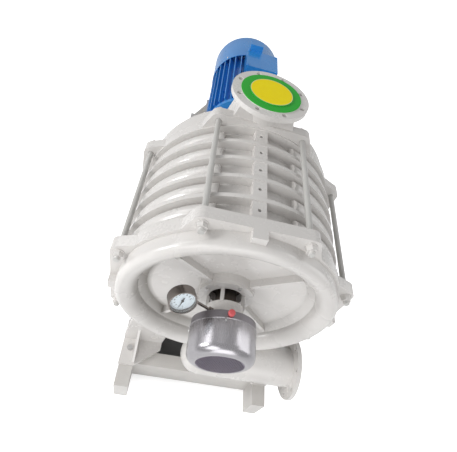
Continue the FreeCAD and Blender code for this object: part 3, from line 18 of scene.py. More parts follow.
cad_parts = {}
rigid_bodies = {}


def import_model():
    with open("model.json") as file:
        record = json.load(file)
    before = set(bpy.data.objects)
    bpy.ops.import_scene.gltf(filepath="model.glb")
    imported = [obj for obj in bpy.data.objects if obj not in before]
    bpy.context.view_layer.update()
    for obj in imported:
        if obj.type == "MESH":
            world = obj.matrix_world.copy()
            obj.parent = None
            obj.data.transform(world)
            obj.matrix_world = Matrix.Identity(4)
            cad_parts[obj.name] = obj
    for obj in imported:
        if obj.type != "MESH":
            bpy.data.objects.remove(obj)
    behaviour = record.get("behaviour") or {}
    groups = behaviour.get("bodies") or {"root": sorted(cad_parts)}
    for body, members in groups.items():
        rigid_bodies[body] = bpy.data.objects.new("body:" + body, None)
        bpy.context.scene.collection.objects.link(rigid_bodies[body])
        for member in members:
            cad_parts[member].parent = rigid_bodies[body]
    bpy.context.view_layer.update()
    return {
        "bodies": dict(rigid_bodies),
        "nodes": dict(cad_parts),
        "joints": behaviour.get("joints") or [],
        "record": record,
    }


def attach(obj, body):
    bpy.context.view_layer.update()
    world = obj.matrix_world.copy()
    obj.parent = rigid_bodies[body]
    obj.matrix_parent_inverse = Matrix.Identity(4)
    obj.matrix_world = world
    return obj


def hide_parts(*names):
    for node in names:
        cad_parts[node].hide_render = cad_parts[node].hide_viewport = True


LOG = logging.getLogger("blower")

Colour = tuple[float, float, float]
Point = tuple[float, float, float]
Outline = Sequence[tuple[float, float]]

# The shaft frame's origin in the floor frame, in millimetres
SHAFT_SHIFT = (0.0, -775.0, 930.0)

# Directions of the floor frame; the fan cover is in front and the motor behind
FRONT, REAR = (0.0, -1.0, 0.0), (0.0, 1.0, 0.0)
RIGHT, UP = (1.0, 0.0, 0.0), (0.0, 0.0, 1.0)


def spot(x: float, y: float, z: float) -> Vector:
    """A point given in shaft millimetres, as a point of the floor frame in metres."""
    return Vector([(value + shift) / 1000 for value, shift in zip((x, y, z), SHAFT_SHIFT)])


def facing(place: Vector, normal: Sequence[float], upright: Sequence[float]) -> Matrix:
    """A frame whose Z is the normal and whose Y is as near as can be to upright.

    Args:
        place: the frame's origin in metres.
        normal: direction of the frame's Z.
        upright: direction that the frame's Y leans to.

    Returns:
        The frame as a matrix.
    """
    z = Vector(normal).normalized()
    x = Vector(upright).cross(z).normalized()
    return Matrix.Translation(place) @ Matrix((x, z.cross(x), z)).transposed().to_4x4()


def on_shaft(y: float, normal: Point, upright: Point = RIGHT) -> Matrix:
    """A frame on the shaft's axis, y millimetres along it."""
    return facing(spot(0, y, 0), normal, upright)


# Node graphs


def operator(operation: str, swapped: bool = False) -> Callable[[Signal, Any], Signal]:
    """An operator of Signal that adds one Math node.

    Args:
        operation: the node's operation.
        swapped: whether the signal stands on the right.

    Returns:
        The operator as a method.
    """
    def method(self: Signal, other: Any) -> Signal:
        """Adds the node and gives its result."""
        return self.maths(operation, *((other, self) if swapped else (self, other)))

    return method


class Signal:
    """A number's socket that can be used in sums, products and comparisons."""

    __add__ = operator("ADD")
    __radd__ = operator("ADD", swapped=True)
    __sub__ = operator("SUBTRACT")
    __rsub__ = operator("SUBTRACT", swapped=True)
    __mul__ = operator("MULTIPLY")
    __rmul__ = operator("MULTIPLY", swapped=True)
    __truediv__ = operator("DIVIDE")
    __mod__ = operator("MODULO")
    __pow__ = operator("POWER")
    __gt__ = operator("GREATER_THAN")
    __lt__ = operator("LESS_THAN")
    larger = operator("MAXIMUM")

    def __init__(self, graph: NodeGraph, socket: NodeSocket) -> None:
        """Keeps the socket and the graph that it belongs to."""
        self.graph = graph
        self.socket = socket

    def maths(self, operation: str, first: Any, second: Any = 0.0, clamp: bool = False) -> Signal:
        """Adds one Math node and gives its result, which clamp holds between 0 and 1."""
        return self.graph.signal("Math", {0: first, 1: second}, operation=operation, use_clamp=clamp)

    def clamped(self) -> Signal:
        """The signal held between 0 and 1."""
        return self.maths("ADD", self, 0.0, clamp=True)

    def wave(self, operation: str) -> Signal:
        """A function of this signal alone, such as SINE or ABSOLUTE."""
        return self.maths(operation, self)


class NodeGraph:
    """Adds nodes to one tree and links their sockets."""

    def __init__(self, tree: bpy.types.NodeTree) -> None:
        """Keeps the tree."""
        self.tree = tree

    def plug(self, target: NodeSocket, value: Any) -> None:
        """Feeds one input.

        Args:
            target: the input.
            value: a Signal, a socket, a node for its first result, a colour or a plain value.
        """
        if isinstance(value, Node):
            value = value.outputs[0]
        elif isinstance(value, Signal):
            value = value.socket
        if isinstance(value, NodeSocket):
            self.tree.links.new(value, target)
        elif target.type == "RGBA" and len(value) == 3:
            target.default_value = (*value, 1.0)
        else:
            target.default_value = value

    def add(self, kind: str, values: dict[Any, Any] | None = None, family: str = "Shader",
            **settings: Any) -> Node:
        """Adds one node.

        Args:
            kind: the node's type, without its family.
            values: what each input gets, by the input's name or place.
            family: Shader, which holds the maths too, or Geometry.
            settings: the node's properties, set before its inputs.

        Returns:
            The node.
        """
        node = self.tree.nodes.new(family + "Node" + kind)
        for key, value in settings.items():
            setattr(node, key, value)
        for key, value in (values or {}).items():
            self.plug(node.inputs[key], value)
        return node

    def signal(self, kind: str, values: dict[Any, Any] | None = None, output: Any = 0,
               **settings: Any) -> Signal:
        """Adds one node and gives one of its results as a signal."""
        return Signal(self, self.add(kind, values, **settings).outputs[output])

    def seen(self, glossy_share: float) -> Signal:
        """1 for what the camera sees, straight or through glass, and a share for what gloss shows.

        Args:
            glossy_share: the value in glossy reflections.

        Returns:
            The signal.
        """
        path = self.add("LightPath").outputs
        return (Signal(self, path["Is Camera Ray"]) + Signal(self, path["Is Glossy Ray"]) * glossy_share
                + Signal(self, path["Is Transmission Ray"])).clamped()


class Surface(NodeGraph):
    """The shader graph of one material, with the patterns that finishes share."""

    def __init__(self, name: str) -> None:
        """Makes the material with its Principled shader and coordinates.

        Args:
            name: the material's name.
        """
        self.material = bpy.data.materials.new(name)
        self.material.use_nodes = True
        super().__init__(self.material.node_tree)
        self.tree.nodes.clear()
        self.output = self.add("OutputMaterial")
        self.shader = self.add("BsdfPrincipled")
        self.show(self.shader)
        self.place = self.add("TexCoord").outputs["Object"]

    def show(self, shader: Node) -> None:
        """Makes a shader the material's surface."""
        self.plug(self.output.inputs["Surface"], shader)

    def noise(self, scale: float, detail: float, stretch: Point = (1.0, 1.0, 1.0),
              roughness: float = 0.55) -> Signal:
        """Noise from 0 to 1, with scale in waves per metre, detail in octaves and roughness as their weight."""
        moved = self.add("Mapping", {"Vector": self.place, "Scale": stretch})
        return self.signal("TexNoise", {
            "Vector": moved, "Scale": scale, "Detail": detail, "Roughness": roughness})

    def ramp(self, source: Signal, low: float, high: float) -> Signal:
        """The source stretched.

        Args:
            source: the signal.
            low: where the result is 0.
            high: where the result is 1.

        Returns:
            The stretched signal, held between 0 and 1.
        """
        node = self.add("ValToRGB", {0: source})
        for element, place in zip(node.color_ramp.elements, (low, high)):
            element.position = place
        return Signal(self, node.outputs[0])

    def mix(self, mask: Any, first: Any, second: Any) -> NodeSocket:
        """Two colours or links mixed, the first where the mask is 0 and the second where it is 1."""
        return self.add("Mix", {0: mask, 6: first, 7: second}, data_type="RGBA").outputs[2]

    def axis(self, name: str) -> Signal:
        """One coordinate of the surface point, in metres."""
        return self.signal("SeparateXYZ", {0: self.place}, name)

    def upward(self) -> Signal:
        """How far the surface faces up, from -1 to 1."""
        normal = self.add("NewGeometry").outputs["Normal"]
        return self.signal("SeparateXYZ", {0: normal}, "Z")

    def bump(self, height: Signal, distance: float = 1.0) -> None:
        """Feeds a height into the shader's normal; distance is the metres that a height of 1 stands for."""
        self.feed(Normal=self.add("Bump", {"Height": height, "Distance": distance, "Strength": 1.0}))

    def feed(self, **sockets: Any) -> None:
        """Feeds the shader's inputs; underscores stand for spaces."""
        for key, value in sockets.items():
            self.plug(self.shader.inputs[key.replace("_", " ")], value)


# Finishes

# How fine marks stretch along x, y and z: not at all, or round the shaft's axis by turning
EVEN, LATHED = (1.0, 1.0, 1.0), (1.0, 0.05, 1.0)
DUST = (0.62, 0.60, 0.55)
FILM_GREEN = (0.03, 0.42, 0.04)
INLET_CENTRE = (0.0, -0.164)


@dataclass(frozen=True)
class Finish:
    """What a surface is made of; each kind lays its own patterns."""

    name: str
    colour: Colour

    def make(self) -> Material:
        """Builds the material.

        Returns:
            The material with the patterns of its kind.
        """
        surface = Surface(self.name)
        self.lay(surface)
        return surface.material

    def lay(self, surface: Surface) -> None:
        """Lays the patterns of this kind."""
        raise NotImplementedError


@dataclass(frozen=True)
class Paint(Finish):
    """Sprayed gloss paint over a cast, rolled or machined surface."""

    shade: Colour
    roughness: float
    cast_grain: float
    peel: float
    dust: float

    def lay(self, surface: Surface) -> None:
        """Lays a cloudy tone, a little dust on top, the casting's grain and orange peel.

        Args:
            surface: the material's graph.
        """
        cloud = surface.noise(5.0, 4.0)
        speck = surface.noise(90.0, 2.0)
        tone = surface.mix(surface.ramp(cloud, 0.35, 0.75), self.colour, self.shade)
        tone = self.with_painted_shade(surface, tone)
        dusty = surface.upward().clamped() * surface.ramp(speck, 0.45, 0.8) * self.dust
        surface.feed(
            Base_Color=surface.mix(dusty, tone, DUST),
            Roughness=(self.roughness + 0.12 * (cloud - 0.5) + 0.25 * dusty).clamped(),
            Coat_Weight=0.35, Coat_Roughness=0.08, Specular_IOR_Level=0.5)
        peel = surface.noise(420.0, 1.0)
        sand = surface.noise(70.0, 5.0, roughness=0.7)
        surface.bump(peel * self.peel + sand * self.cast_grain)

    def with_painted_shade(self, surface: Surface, tone: Any) -> Any:
        """The tone with painted shade at one place; plain paint has none."""
        return tone


@dataclass(frozen=True)
class GrooveShadePaint(Paint):
    """Paint with painted shade, a dark tone laid into its colour, where the front head's dish meets its ring.

    Radii and heights are metres; the slopes are the share's fall per metre.
    """

    axis_height: float = 0.93
    inside: float = 0.325
    groove: float = 0.348
    outside: float = 0.435
    front: float = -0.8
    fall_across: float = 1.6
    fall_up: float = 0.5
    least: float = 0.12
    # Colour of the painted shade in the groove
    painted_shade: Colour = (0.17, 0.155, 0.135)
    share: float = 0.85

    def with_painted_shade(self, surface: Surface, tone: Any) -> Any:
        """Lays the painted shade, strongest on the left, the side away from the outlet, and low down.

        Args:
            surface: the paint's graph.
            tone: the clean paint's colour.

        Returns:
            The colour with the painted shade.
        """
        across = surface.axis("X")
        up = surface.axis("Z") - self.axis_height
        radius = (across * across + up * up) ** 0.5
        # Painted shade in a band round the groove, stronger to the left and low, in front of the head
        inner = ((radius - self.inside) / (self.groove - self.inside)).clamped()
        outer = ((self.outside - radius) / (self.outside - self.groove)).clamped()
        side = (0.5 - across * self.fall_across - up * self.fall_up).clamped() * (1.0 - self.least) + self.least
        share = inner * outer ** 1.6 * side * (surface.axis("Y") < self.front) * self.share
        return surface.mix(share, tone, self.painted_shade)


@dataclass(frozen=True)
class Metal(Finish):
    """Bare metal with turning or brushing marks along one direction."""

    roughness: float
    stretch: Point = EVEN
    marks: float = 0.00002
    tarnish: Colour = (0.35, 0.33, 0.32)
    tarnish_share: float = 0.15

    def lay(self, surface: Surface) -> None:
        """Lays fine marks and a light tarnish.

        Args:
            surface: the material's graph.
        """
        fine = surface.noise(900.0, 2.0, self.stretch)
        cloud = surface.noise(14.0, 4.0)
        stain = surface.ramp(cloud, 0.5, 0.9) * self.tarnish_share
        surface.feed(
            Base_Color=surface.mix(stain, self.colour, self.tarnish),
            Roughness=(self.roughness + 0.15 * (fine - 0.5) + 0.3 * stain).clamped(),
            Metallic=1.0)
        surface.bump(fine, self.marks)


@dataclass(frozen=True)
class Rubbery(Finish):
    """Rubber, fibre or moulded plastic with a soft sheen."""

    shade: Colour
    roughness: float
    grain: float = 0.00006

    def lay(self, surface: Surface) -> None:
        """Lays a cloudy tone and a fine moulded grain.

        Args:
            surface: the material's graph.
        """
        cloud = surface.noise(25.0, 4.0)
        fine = surface.noise(650.0, 2.0)
        surface.feed(
            Base_Color=surface.mix(surface.ramp(cloud, 0.3, 0.8), self.colour, self.shade),
            Roughness=(self.roughness + 0.2 * (fine - 0.5)).clamped())
        surface.bump(fine, self.grain)


@dataclass(frozen=True)
class RingedCover(Finish):
    """The flange cover's film: one colour inside a ring, another outside it, a pale line between."""

    shade: Colour
    line: Colour
    line_inner: float
    line_outer: float
    centre: tuple[float, float] = INLET_CENTRE
    outside: Colour = FILM_GREEN

    def lay(self, surface: Surface) -> None:
        """Lays the two colours, the pale line and a fine grain.

        Args:
            surface: the material's graph.
        """
        dx = surface.axis("X") - self.centre[0]
        dy = surface.axis("Y") - self.centre[1]
        radius = (dx * dx + dy * dy).wave("SQRT")
        band = (radius > self.line_inner) * (radius < self.line_outer)
        cloud = surface.noise(30.0, 4.0)
        body = surface.mix(surface.ramp(cloud, 0.35, 0.8), self.colour, self.shade)
        fine = surface.noise(500.0, 2.0)
        outer = surface.mix(radius > self.line_outer, body, self.outside)
        surface.feed(
            Base_Color=surface.mix(band, outer, self.line),
            Roughness=(0.5 + 0.2 * (fine - 0.5)).clamped(),
            Specular_IOR_Level=0.2)
        surface.bump(fine, 0.00005)


@dataclass(frozen=True)
class Glass(Finish):
    """Thin clear glass: see-through with a gloss that grows at the edge."""

    def lay(self, surface: Surface) -> None:
        """Mixes clear and glossy by the viewing slope, with faint smudges.

        Args:
            surface: the material's graph.
        """
        surface.feed(Base_Color=self.colour, Roughness=0.04, Metallic=0.0)
        clear = surface.add("BsdfTransparent", {"Color": self.colour})
        slope = surface.signal("LayerWeight", {"Blend": 0.5}, "Facing")
        smudge = surface.noise(60.0, 3.0)
        share = (slope ** 4.0 * 0.6 + 0.03 + 0.03 * smudge).clamped()
        surface.show(surface.add("MixShader", {0: share, 1: clear, 2: surface.shader}))


ENAMEL = ((0.725, 0.705, 0.685), (0.665, 0.645, 0.625), 0.27, 0.00016, 0.0001, 0.08)
CASING = Paint("casing_enamel", *ENAMEL)
# The front head's enamel, with painted shade in its groove
HEAD = GrooveShadePaint("head_enamel", *ENAMEL)
FRAME = Paint("frame_enamel", (0.63, 0.61, 0.585), (0.56, 0.54, 0.515), 0.33, 0.0001, 0.00012, 0.12)
MOTOR = Paint("motor_enamel", (0.03, 0.27, 0.70), (0.025, 0.225, 0.61), 0.28, 0.00015, 0.0001, 0.0)
ROD = Paint("rod_enamel", (0.56, 0.555, 0.535), (0.50, 0.495, 0.475), 0.30, 0.00004, 0.00005, 0.05)
POLISHED = Metal("polished_sheet", (0.39, 0.38, 0.40), 0.26, (1.0, 0.02, 1.0), 0.000012)
TURNED = Metal("turned_ring", (0.27, 0.255, 0.275), 0.45, LATHED)
CHROMED = Metal("chromed_case", (0.24, 0.215, 0.20), 0.18, EVEN, 0.000006)
# Very dark iron; on the shaft sleeves and the ring in the hub's recess its darkness is painted shade
DARK_IRON = Metal("oiled_iron", (0.10, 0.085, 0.075), 0.42, EVEN, 0.00006, (0.05, 0.035, 0.025), 0.6)
PUNCHED = Metal("punched_sheet", (0.15, 0.125, 0.175), 0.34, EVEN, 0.00002, (0.09, 0.075, 0.12), 0.5)
STEEL = Metal("turned_steel", (0.58, 0.57, 0.56), 0.28, LATHED)
GROUND = Metal("ground_steel", (0.66, 0.66, 0.67), 0.15, LATHED, 0.000008)
ALUMINIUM = Metal("cast_alloy", (0.72, 0.72, 0.74), 0.42, EVEN, 0.00006)
ZINC = Metal("zinc_plate", (0.60, 0.60, 0.60), 0.32, EVEN, 0.00002, (0.45, 0.43, 0.36), 0.35)
IRON = Metal("grey_iron", (0.30, 0.30, 0.31), 0.5, EVEN, 0.00008)
RUBBER = Rubbery("bush_rubber_finish", (0.03, 0.03, 0.032), (0.045, 0.045, 0.045), 0.6)
GASKET = RingedCover("gasket_film", FILM_GREEN, (0.025, 0.36, 0.035), (0.42, 0.50, 0.42), 0.0980, 0.0982)
COVER = RingedCover("cover_film", (0.97, 0.80, 0.004), (0.94, 0.76, 0.004), (0.70, 0.70, 0.42), 0.0908, 0.0934)
PLUG = Rubbery("plug_plastic", (0.72, 0.13, 0.14), (0.64, 0.09, 0.10), 0.3)
DIAL = Rubbery("dial_enamel", (0.88, 0.94, 1.0), (0.85, 0.92, 1.0), 0.4, 0.00001)
INK = Rubbery("dial_ink", (0.012, 0.012, 0.014), (0.02, 0.02, 0.02), 0.45, 0.00001)
DIAL_GLASS = Glass("gauge_pane", (0.99, 1.0, 1.0))


# Geometry trees

# Height of a row of staggered holes, as a share of their pitch
ROW_HEIGHT = 0.8660254


class GeometryTree(NodeGraph):
    """A Geometry Nodes tree with named inputs."""

    def __init__(self, name: str) -> None:
        """Makes the group with its output and input nodes.

        Args:
            name: the group's name.
        """
        self.group = bpy.data.node_groups.new(name, "GeometryNodeTree")
        super().__init__(self.group)
        for way in ("INPUT", "OUTPUT"):
            self.group.interface.new_socket("Geometry", in_out=way, socket_type="NodeSocketGeometry")
        self.entry = self.group.nodes.new("NodeGroupInput")
        self.exit = self.group.nodes.new("NodeGroupOutput")

    def thing(self, name: str, kind: str) -> NodeSocket:
        """A named input of the tree; kind is Float, Int, Object or Material."""
        self.group.interface.new_socket(name, in_out="INPUT", socket_type="NodeSocket" + kind)
        return self.entry.outputs[name]

    def number(self, name: str, kind: str = "Float") -> Signal:
        """A named number of the tree."""
        return Signal(self, self.thing(name, kind))

    def shape(self, kind: str, values: dict[Any, Any] | None = None, **settings: Any) -> Node:
        """Adds one node that only geometry trees have."""
        return self.add(kind, values, "Geometry", **settings)

    def vector(self, x: Any, y: Any, z: Any) -> Node:
        """A vector from three numbers or signals."""
        return self.add("CombineXYZ", {0: x, 1: y, 2: z})

    def copies(self, points: Node, piece: Any, turn: Any = (0.0, 0.0, 0.0)) -> GeometryTree:
        """Ends the tree in a copy of an object on each point, and gives the tree.

        Args:
            points: the points.
            piece: the socket of the object.
            turn: each copy's turn in radians.

        Returns:
            The finished tree.
        """
        copied = self.shape("ObjectInfo", {"Object": piece})
        return self.close(self.shape("InstanceOnPoints", {
            "Points": points, "Instance": copied.outputs["Geometry"], "Rotation": turn}))

    def joined(self, *nodes: Node) -> Node:
        """The geometry of several nodes as one.

        Args:
            nodes: the nodes.

        Returns:
            The joining node.
        """
        both = self.shape("JoinGeometry")
        for node in nodes:
            self.plug(both.inputs[0], node)
        return both

    def close(self, last: Node) -> GeometryTree:
        """Ends the tree in Realize Instances and Set Material.

        Args:
            last: the node whose geometry comes out.

        Returns:
            The tree.
        """
        real = self.shape("RealizeInstances", {0: last})
        material = self.thing("Material", "Material")
        self.plug(self.exit.inputs[0], self.shape("SetMaterial", {"Geometry": real, "Material": material}))
        return self

    def grow(self, material: Material, base: Mesh | None = None, **values: Any) -> Mesh:
        """Runs the tree once.

        Args:
            material: what the result is made of.
            base: mesh that the tree starts from, if it needs one.
            values: every other named input.

        Returns:
            The result as a plain mesh.
        """
        holder = as_object(base or bpy.data.meshes.new("holder"), "holder")
        modifier = holder.modifiers.new("grow", "NODES")
        modifier.node_group = self.group
        sockets = {item.name: item.identifier for item in self.group.interface.items_tree
                   if item.in_out == "INPUT"}
        for key, value in {"Material": material, **values}.items():
            modifier[sockets[key]] = value
        return evaluated(holder)


def ring_tree() -> GeometryTree:
    """Copies of one piece on a circle round the tree's Z axis, each turned with its angle.

    Returns:
        The tree.
    """
    tree = GeometryTree("ring_of_copies")
    count = tree.number("Count", "Int")
    radius, start, sweep = (tree.number(name) for name in ("Radius", "Start", "Sweep"))
    piece = tree.thing("Piece", "Object")
    angle = tree.signal("InputIndex", family="Geometry") * (sweep / count) + start
    line = tree.shape("MeshLine", {"Count": count})
    circle = tree.vector(angle.wave("COSINE") * radius, angle.wave("SINE") * radius, 0.0)
    spots = tree.shape("SetPosition", {"Geometry": line, "Position": circle})
    return tree.copies(spots, piece, tree.vector(0.0, 0.0, angle))


def spots_tree() -> GeometryTree:
    """Copies of one piece on the base mesh's vertices, unturned."""
    tree = GeometryTree("copies_on_spots")
    return tree.copies(tree.entry, tree.thing("Piece", "Object"))


def punched_tree() -> GeometryTree:
    """A round sheet with staggered round holes, from z 0 up to its thickness.

    The holes lie between the radii Clear and Field, and Rows has to reach over the field.

    Returns:
        The tree.
    """
    tree = GeometryTree("punched_disc")
    radius, field, clear, pitch, hole, thick = (
        tree.number(name) for name in ("Radius", "Field", "Clear", "Pitch", "Hole", "Thickness"))
    sides, rows = tree.number("Sides", "Int"), tree.number("Rows", "Int")
    grid = tree.shape("MeshGrid", {
        "Size X": rows * pitch, "Size Y": rows * pitch * ROW_HEIGHT, "Vertices X": rows, "Vertices Y": rows})
    where = tree.shape("InputPosition")
    parts = tree.add("SeparateXYZ", {0: where})
    x, y = Signal(tree, parts.outputs["X"]), Signal(tree, parts.outputs["Y"])
    # 500 keeps the row's number above zero, and the quarter keeps it off the rounding's edge
    odd = (y / (pitch * ROW_HEIGHT) + 500.25).wave("FLOOR") % 2.0
    moved = tree.shape("SetPosition", {"Geometry": grid, "Offset": tree.vector(odd * pitch * 0.5, 0.0, 0.0)})
    far = (x * x + y * y).wave("SQRT")
    outside = (far > field) + (far < clear)
    kept = tree.shape("DeleteGeometry", {"Geometry": moved, "Selection": outside > 0.5}, domain="POINT")
    small = tree.shape("CurvePrimitiveCircle", {"Resolution": sides, "Radius": hole})
    large = tree.shape("CurvePrimitiveCircle", {"Resolution": 96, "Radius": radius})
    holes = tree.shape("InstanceOnPoints", {"Points": kept, "Instance": small})
    real = tree.shape("RealizeInstances", {0: holes})
    sheet = tree.shape("FillCurve", {0: tree.joined(real, large)})
    raised = tree.shape("ExtrudeMesh", {"Mesh": sheet, "Offset": UP, "Offset Scale": thick, "Individual": False})
    both = tree.joined(raised, tree.shape("FlipFaces", {0: sheet}))
    return tree.close(tree.shape("MergeByDistance", {"Geometry": both, "Distance": 1e-6}))


def thread_tree() -> GeometryTree:
    """A screw thread along Z: a ridge that winds round a core.

    Returns:
        The tree.
    """
    tree = GeometryTree("screw_thread")
    radius, pitch, length = (tree.number(name) for name in ("Radius", "Pitch", "Length"))
    helix = tree.shape("CurveSpiral", {
        "Resolution": 20, "Rotations": length / pitch, "Start Radius": radius, "End Radius": radius,
        "Height": length})
    section = tree.shape("CurvePrimitiveCircle", {"Resolution": 3, "Radius": pitch * 0.48})
    return tree.close(tree.shape("CurveToMesh", {"Curve": helix, "Profile Curve": section, "Fill Caps": True}))


def weld_tree() -> GeometryTree:
    """A rippled weld bead along the edges of the base mesh.

    Returns:
        The tree.
    """
    tree = GeometryTree("weld_bead")
    width, ripple, seed = (tree.number(name) for name in ("Width", "Ripple", "Seed"))
    path = tree.shape("MeshToCurve", {0: tree.entry})
    fine = tree.shape("ResampleCurve", {"Curve": path, "Length": ripple}, mode="LENGTH")
    index = tree.signal("InputIndex", family="Geometry")
    where = tree.shape("InputPosition")
    noise = tree.add("TexNoise", {"Vector": where, "W": seed, "Scale": 90.0, "Detail": 2.0},
                     noise_dimensions="4D")
    wander = tree.add("VectorMath", {0: noise.outputs["Color"], 1: (0.5, 0.5, 0.5)}, operation="SUBTRACT")
    shift = tree.add("VectorMath", {0: wander, "Scale": 0.003}, operation="SCALE")
    moved = tree.shape("SetPosition", {"Geometry": fine, "Offset": shift})
    swell = 1.0 + 0.14 * (index * 1.9).wave("SINE") + 0.3 * (Signal(tree, noise.outputs[0]) - 0.5)
    section = tree.shape("CurvePrimitiveCircle", {"Resolution": 7, "Radius": width})
    sized = tree.shape("SetCurveRadius", {"Curve": moved, "Radius": swell})
    radius = tree.shape("InputRadius")
    return tree.close(tree.shape("CurveToMesh", {
        "Curve": sized, "Profile Curve": section, "Fill Caps": True, "Scale": radius}))


# Meshes and pieces


def as_object(data: bpy.types.ID, name: str) -> Object:
    """Links a mesh, text, lamp or camera to the scene as an object at the origin.

    Args:
        data: what the object shows.
        name: its name.

    Returns:
        The object.
    """
    item = bpy.data.objects.new(name, data)
    bpy.context.scene.collection.objects.link(item)
    return item


def evaluated(holder: Object) -> Mesh:
    """What an object shows, as a plain mesh; the object is removed.

    Args:
        holder: the object.

    Returns:
        The mesh with its modifiers applied.
    """
    graph = bpy.context.evaluated_depsgraph_get()
    mesh = bpy.data.meshes.new_from_object(holder.evaluated_get(graph), depsgraph=graph)
    bpy.data.objects.remove(holder)
    return mesh


def as_mesh(made: bmesh.types.BMesh, name: str) -> Mesh:
    """Turns a mesh that was being made into a plain one.

    Args:
        made: the mesh, which is freed.
        name: the new mesh's name.

    Returns:
        The plain mesh.
    """
    mesh = bpy.data.meshes.new(name)
    made.to_mesh(mesh)
    made.free()
    return mesh


def wire(points: Sequence[Vector], edges: Sequence[tuple[int, int]] = ()) -> Mesh:
    """A mesh of bare points and edges.

    Args:
        points: the points, in metres.
        edges: pairs of their numbers.

    Returns:
        The mesh.
    """
    mesh = bpy.data.meshes.new("wire")
    mesh.from_pydata(points, edges, [])
    return mesh


def placed(mesh: Mesh, place: Matrix) -> Mesh:
    """Moves a mesh from a frame's own coordinates to the floor frame, and gives it."""
    mesh.transform(place)
    return mesh


def lift(height: float) -> Matrix:
    """The frame that lies so many millimetres up."""
    return Matrix.Translation((0.0, 0.0, height / 1000))


def polar(radius: float, angle: float) -> tuple[float, float]:
    """The point of a circle round the origin at an angle in radians."""
    return radius * math.cos(angle), radius * math.sin(angle)


def lathe(profile: Outline, steps: int) -> Mesh:
    """Turns a closed outline round the Z axis.

    Args:
        profile: (radius, height) points in millimetres, in order round the outline.
        steps: sides of the turned body.

    Returns:
        A closed mesh whose faces point outwards.
    """
    made = bmesh.new()
    rings = [[made.verts.new((*polar(radius / 1000, math.tau * k / steps), height / 1000))
              for k in range(steps if radius > 0.0 else 1)] for radius, height in profile]
    for first, second in zip(rings, rings[1:] + rings[:1]):
        for k in range(steps):
            corners = [first[k % len(first)], first[(k + 1) % len(first)],
                       second[(k + 1) % len(second)], second[k % len(second)]]
            unique = list(dict.fromkeys(corners))
            if len(unique) > 2:
                made.faces.new(unique)
    bmesh.ops.recalc_face_normals(made, faces=made.faces)
    return as_mesh(made, "turned")


def bend(radius: float, centre: tuple[float, float], start: float, end: float, steps: int) -> Outline:
    """Points of an outline's arc round a centre, between two angles in degrees, with so many steps."""
    turns = [polar(radius, math.radians(start + (end - start) * k / steps)) for k in range(steps + 1)]
    return [(centre[0] + x, centre[1] + y) for x, y in turns]


def hexagon_head(flats: float, height: float, washer: float, sides: int = 24) -> Mesh:
    """A chamfered hexagon head on a washer, standing on z 0, in millimetres.

    Args:
        flats: width across flats.
        height: height of the head.
        washer: outer radius of the washer.
        sides: points of each ring, a multiple of six.

    Returns:
        The head and its washer as one mesh.
    """
    made = bmesh.new()
    base = 0.12 * flats
    corner = flats / math.sqrt(3.0)
    rings = []
    for radius, z in ((washer, 0.0), (washer, base), (corner, base), (corner, base + height * 0.82),
                      (flats * 0.46, base + height)):
        ring = []
        for k in range(sides):
            angle = math.tau * k / sides
            reach = radius
            if radius == corner:
                reach = flats / 2 / math.cos((angle % (math.pi / 3)) - math.pi / 6)
            ring.append(made.verts.new((*polar(reach / 1000, angle), z / 1000)))
        rings.append(ring)
    for low, high in zip(rings, rings[1:]):
        for k in range(sides):
            after = (k + 1) % sides
            made.faces.new((low[k], low[after], high[after], high[k]))
    made.faces.new(rings[-1])
    made.faces.new(rings[0][::-1])
    return as_mesh(made, "hexagon_head")


def pan_head(radius: float, height: float) -> Mesh:
    """A domed screw head with a round recess, standing on z 0, in millimetres.

    Args:
        radius: the head's radius.
        height: its height.

    Returns:
        The head as a mesh in metres.
    """
    profile = [(0.0, 0.0), (radius, 0.0), (radius, height * 0.3),
               *bend(radius * 0.5, (radius * 0.5, height * 0.5), 0.0, 90.0, 4),
               (radius * 0.42, height * 0.9), (radius * 0.42, height * 0.45), (0.0, height * 0.45)]
    return lathe([(min(r, radius), min(z, height)) for r, z in profile], 18)


